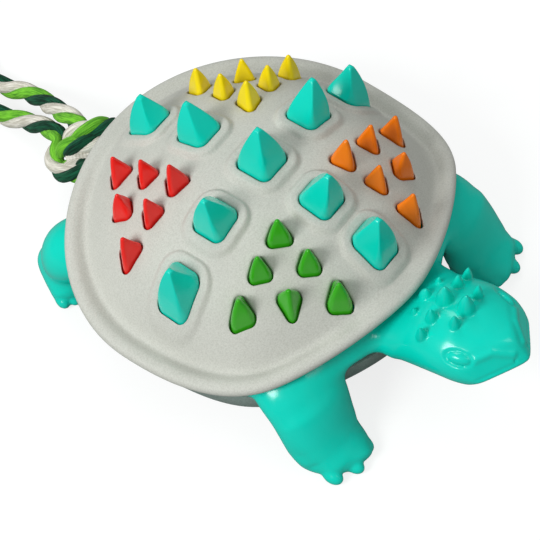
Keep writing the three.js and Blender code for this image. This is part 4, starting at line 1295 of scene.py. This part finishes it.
def skinned(field):
    whole = np.concatenate([field[:0:-1], field]).astype(np.float32)
    grid = openvdb.FloatGrid(CLAY_BAND)
    grid.copyFromArray(np.clip(whole, -CLAY_BAND, CLAY_BAND))
    points, quads = grid.convertToQuads(0.0)
    half = clay_axes[0]
    axes = [np.concatenate([-half[:0:-1], half])] + clay_axes[1:]
    points = [np.interp(p, np.arange(len(axis)), axis)
              for p, axis in zip(np.asarray(points, float).T, axes)]
    return np.stack(points, axis=1), np.asarray(quads)


def relaxed(points, quads, rounds, share):
    # Each round in is followed by one out, so that the body keeps its volume
    edges = np.concatenate([quads[:, (k, (k + 1) % 4)] for k in range(4)])
    edges = np.unique(np.sort(edges, axis=1), axis=0)
    count = np.bincount(edges.ravel(), minlength=len(points))[:, None]
    for k in range(rounds):
        total = np.zeros_like(points)
        np.add.at(total, edges[:, 0], points[edges[:, 1]])
        np.add.at(total, edges[:, 1], points[edges[:, 0]])
        points = points + (share if k % 2 == 0 else -share * 1.04) * (total / count - points)
    return points


def thinned(piece, most):
    # Flat places lose triangles first, so that the small features keep theirs
    count = 2 * len(piece.data.polygons)  # two triangles to a quad
    modifier = piece.modifiers.new("thin", "DECIMATE")
    modifier.ratio = min(1.0, most / count)
    shown = piece.evaluated_get(bpy.context.evaluated_depsgraph_get())
    piece.data = bpy.data.meshes.new_from_object(shown)
    piece.modifiers.clear()


def make_body():
    points, quads = skinned(body_field())
    points = relaxed(points, quads, 6, 0.55)
    points[:, 2] = np.maximum(points[:, 2], 0.0)
    faces = outward(points, [tuple(q) for q in quads])
    body = make_piece("turtle_rubber_body", points, faces, [teal_rubber], sharp=60.0)
    thinned(body, BODY_TRIANGLES)
    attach(body, "toy")
    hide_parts("turtle_body")


make_body()

# Belly, its screws and the squeaker

BELLY_WALL = 2.6
BELLY_FLOOR = BELLY_BOTTOM + BELLY_WALL
BELLY_SIDES = 180
BOSS_RADIUS = 5.0
SCREW_HEAD_RADIUS = 2.1
SCREW_HEAD = 1.6
SCREW_WEB = 2.2
SCREW_LENGTH = 10.0
THREAD = (0.35, 24)  # half a turn, number of them
THREAD_ROOT = 0.8
SQUEAKER_RADIUS = 8.0
SQUEAKER_HEIGHT = 10.0
SQUEAKER_FLANGE = 11.0
SQUEAKER_SIDES = 64
REED = 0.8
CAP_DEPTH = 2.4
CUT_BELOW = 15.0  # cutters start under the belly and end above it
CUT_ABOVE = 40.0


def level_ring(depth_in, height):
    ring = rim_ring(depth_in, 0, BELLY_SIDES)
    ring[:, 2] = height
    return ring


def edge_ring(depth_in, height):
    around = np.linspace(0, 2 * math.pi, BELLY_SIDES, endpoint=False)
    return level_ring(by_direction(BELLY_INSET, np.cos(around), np.sin(around)) + depth_in, height)


def combined(base, other, operation):
    modifier = base.modifiers.new("shape", "BOOLEAN")
    modifier.operation = operation
    modifier.solver = "EXACT"
    modifier.object = other
    shown = base.evaluated_get(bpy.context.evaluated_depsgraph_get())
    mesh = bpy.data.meshes.new_from_object(shown)
    base.modifiers.clear()
    base.data = mesh
    bpy.data.objects.remove(other)  # only its shape was needed


def make_belly():
    floor, under = BELLY_FLOOR, BELLY_BOTTOM
    top = FLANGE_BOTTOM - GAP
    outer = ((23.5, under), (3.9, under), (3, 16.1), (2.2, 16.4), (0.9, 17.05), (0.3, 17.5), (0, 18.3),
             (0, 24.2), (0.15, 24.55), (0.5, top))
    inner = ((8.6, top), (9.1, 24.2), (9.1, 20.5), (9.6, 19.9), (11.6, 18.9), (12.6, floor), (30, floor))
    rings = [edge_ring(*row) for row in outer] + [level_ring(*row) for row in inner]
    belly = make_piece("belly_moulding", *loft(rings), [painted_shade_belly_nylon])
    boss_top = POST_BOTTOM - GAP
    bosses = joined([turned([(BOSS_RADIUS, floor - 0.6), (BOSS_RADIUS, boss_top - 0.4),
                             (BOSS_RADIUS - 0.4, boss_top)], x * 0.985, y * 0.985, 40) for x, y in posts])
    combined(belly, make_piece("bosses", *bosses, [painted_shade_belly_nylon]), "UNION")
    sink = SCREW_HEAD_RADIUS + GAP
    hole = SCREW_RADIUS + GAP
    web = boss_top - SCREW_WEB

    def mouth(width, edge):
        return [(width + edge, CUT_BELOW), (width + edge, under), (width, under + edge)]

    cutters = [turned(mouth(sink, 0.5) + [(sink, web), (hole, web), (hole, CUT_ABOVE)], x, y, 32)
               for x, y in posts]
    seat = SQUEAKER_RADIUS + GAP
    cutters.append(turned(mouth(seat, 0.6) + [(seat, CUT_ABOVE)], 0, 0, SQUEAKER_SIDES))
    combined(belly, make_piece("cutters", *joined(cutters), [painted_shade_belly_nylon]), "DIFFERENCE")
    belly.data.set_sharp_from_angle(angle=math.radians(35))
    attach(belly, "toy")
    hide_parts("belly_shell")


def make_screws():
    top = POST_BOTTOM - GAP - SCREW_WEB - GAP
    low = top - SCREW_HEAD
    wide = SCREW_HEAD_RADIUS
    head = [(0.9, low + 0.9), (0.9, low + 0.05), (1.5, low), (1.9, low + 0.12), (wide, low + 0.5),
            (wide, top - 0.1), (wide - 0.1, top), (SCREW_RADIUS * THREAD_ROOT, top)]
    step, count = THREAD
    thread = [(SCREW_RADIUS * (1.0 if k % 2 else THREAD_ROOT), top + 0.6 + step * k) for k in range(count)]
    profile = head + thread + [(0.1, top + SCREW_LENGTH)]
    parts = [turned(profile, x, y, 24) for x, y in posts]
    screws = make_piece("belly_screws", *joined(parts), [screw_steel])
    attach(screws, "toy")
    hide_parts("belly_screw_1", "belly_screw_2", "belly_screw_3", "belly_screw_4")


def make_squeaker():
    wide = SQUEAKER_RADIUS
    cup = wide - 2
    sole = BELLY_FLOOR + GAP
    top = sole + SQUEAKER_HEIGHT
    lid = top + GAP
    ledge = top - CAP_DEPTH - REED - 2 * GAP
    housing = [(4, 16.6), (4.3, 16.3), (7.6, 16.3), (wide, 16.7), (wide, sole), (SQUEAKER_FLANGE, sole),
               (SQUEAKER_FLANGE, BELLY_FLOOR + 2.1), (SQUEAKER_FLANGE - 0.2, BELLY_FLOOR + 2.3),
               (wide, BELLY_FLOOR + 2.3), (wide, top), (cup + GAP, top), (cup + GAP, ledge), (4, ledge)]
    low, high = ledge + GAP, ledge + GAP + REED
    reed = [(0.01, low), (cup, low), (cup, high), (0.01, high)]
    cap = [(2, top - CAP_DEPTH), (cup, top - CAP_DEPTH), (cup, lid), (wide, lid), (wide, lid + 1.0),
           (wide - 0.2, lid + 1.2), (2, lid + 1.2)]
    for name, profile, hollow in (("housing", housing, True), ("reed", reed, False), ("cap", cap, True)):
        shape = turned(profile, 0, 0, SQUEAKER_SIDES, hollow)
        piece = make_piece(f"squeaker_{name}_moulding", *shape, [squeaker_plastic])
        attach(piece, "toy")
        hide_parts(f"squeaker_{name}")


make_belly()
make_screws()
make_squeaker()

# Studio: pale floor and soft lamps, the main one from the left of the picture

FLOOR_HALF = 4.0  # metres
FLOOR_GLOW = 0.8  # lifts the paper to white where it is looked at; its shadows stay
WORLD_FILL = 0.48
WORLD_IN_GLOSS = 0.1
LAMPS = {  # across, up and towards the camera in metres, then width and power
    "main_softbox": (-0.68, 0.72, 0.56, 0.46, 8.2),
    "rear_softbox": (-0.15, 0.95, -0.6, 0.5, 2.2),
    "right_softbox": (0.52, 0.92, 0.2, 0.45, 0.9),
}
LAMP_TARGET = Vector((0.0, 0.0, 40.0))


def light_path(tree):
    # The kinds of ray, and whether the surface is looked at, straight or through something clear
    path = add(tree, "ShaderNodeLightPath").outputs
    seen = add(tree, "ShaderNodeMath", {"operation": "MAXIMUM"}, {
        0: path["Is Camera Ray"], 1: path["Is Transmission Ray"]})
    return path, seen.outputs[0]


def make_stage():
    mesh = bpy.data.meshes.new("floor")
    corners = [(x * FLOOR_HALF, y * FLOOR_HALF, 0) for x, y in ((-1, -1), (1, -1), (1, 1), (-1, 1))]
    mesh.from_pydata(corners, [], [(0, 1, 2, 3)])
    floor = bpy.data.objects.new("floor", mesh)
    scene.collection.objects.link(floor)
    material, tree, shader = new_material("pale_paper_floor")
    shown = add(tree, "ShaderNodeMath", {"operation": "MULTIPLY"}, {0: light_path(tree)[1], 1: FLOOR_GLOW})
    plug(tree, shader, {
        "Base Color": linear("#868988"), "Roughness": 0.9, "Specular IOR Level": 0.0,
        "Emission Color": (1, 1, 1, 1), "Emission Strength": shown.outputs[0]})
    clear = add(tree, "ShaderNodeBsdfTransparent")  # from below
    side = add(tree, "ShaderNodeNewGeometry")
    sheet = add(tree, "ShaderNodeMixShader", None, {
        0: side.outputs["Backfacing"], 1: shader.outputs["BSDF"], 2: clear.outputs["BSDF"]})
    plug(tree, tree.nodes["Material Output"], {"Surface": sheet.outputs["Shader"]})
    mesh.materials.append(material)


def make_lamp(name, across, up, back, size, power):
    data = bpy.data.lights.new(name, "AREA")
    data.shape = "DISK"
    data.size = size
    data.energy = power
    lamp = bpy.data.objects.new(name, data)
    middle = (LAMP_TARGET + Vector(TO_FRAME)) * MM
    level = Vector((view_right.x, view_right.y, 0)).normalized()
    ahead = Vector((view_back.x, view_back.y, 0)).normalized()
    lamp.location = middle + level * across + Vector((0, 0, up)) + ahead * back
    lamp.rotation_euler = (middle - lamp.location).to_track_quat("-Z", "Y").to_euler()
    scene.collection.objects.link(lamp)


def make_lights():
    world = bpy.data.worlds.new("studio")
    scene.world = world
    world.use_nodes = True
    tree = world.node_tree
    path, seen = light_path(tree)
    fill = spread(tree, path["Is Glossy Ray"], WORLD_FILL, WORLD_IN_GLOSS)
    plug(tree, tree.nodes["Background"], {"Color": (1, 1, 1, 1), "Strength": spread(tree, seen, fill, 1.0)})
    for name, settings in LAMPS.items():
        make_lamp(name, *settings)


make_stage()
make_lights()
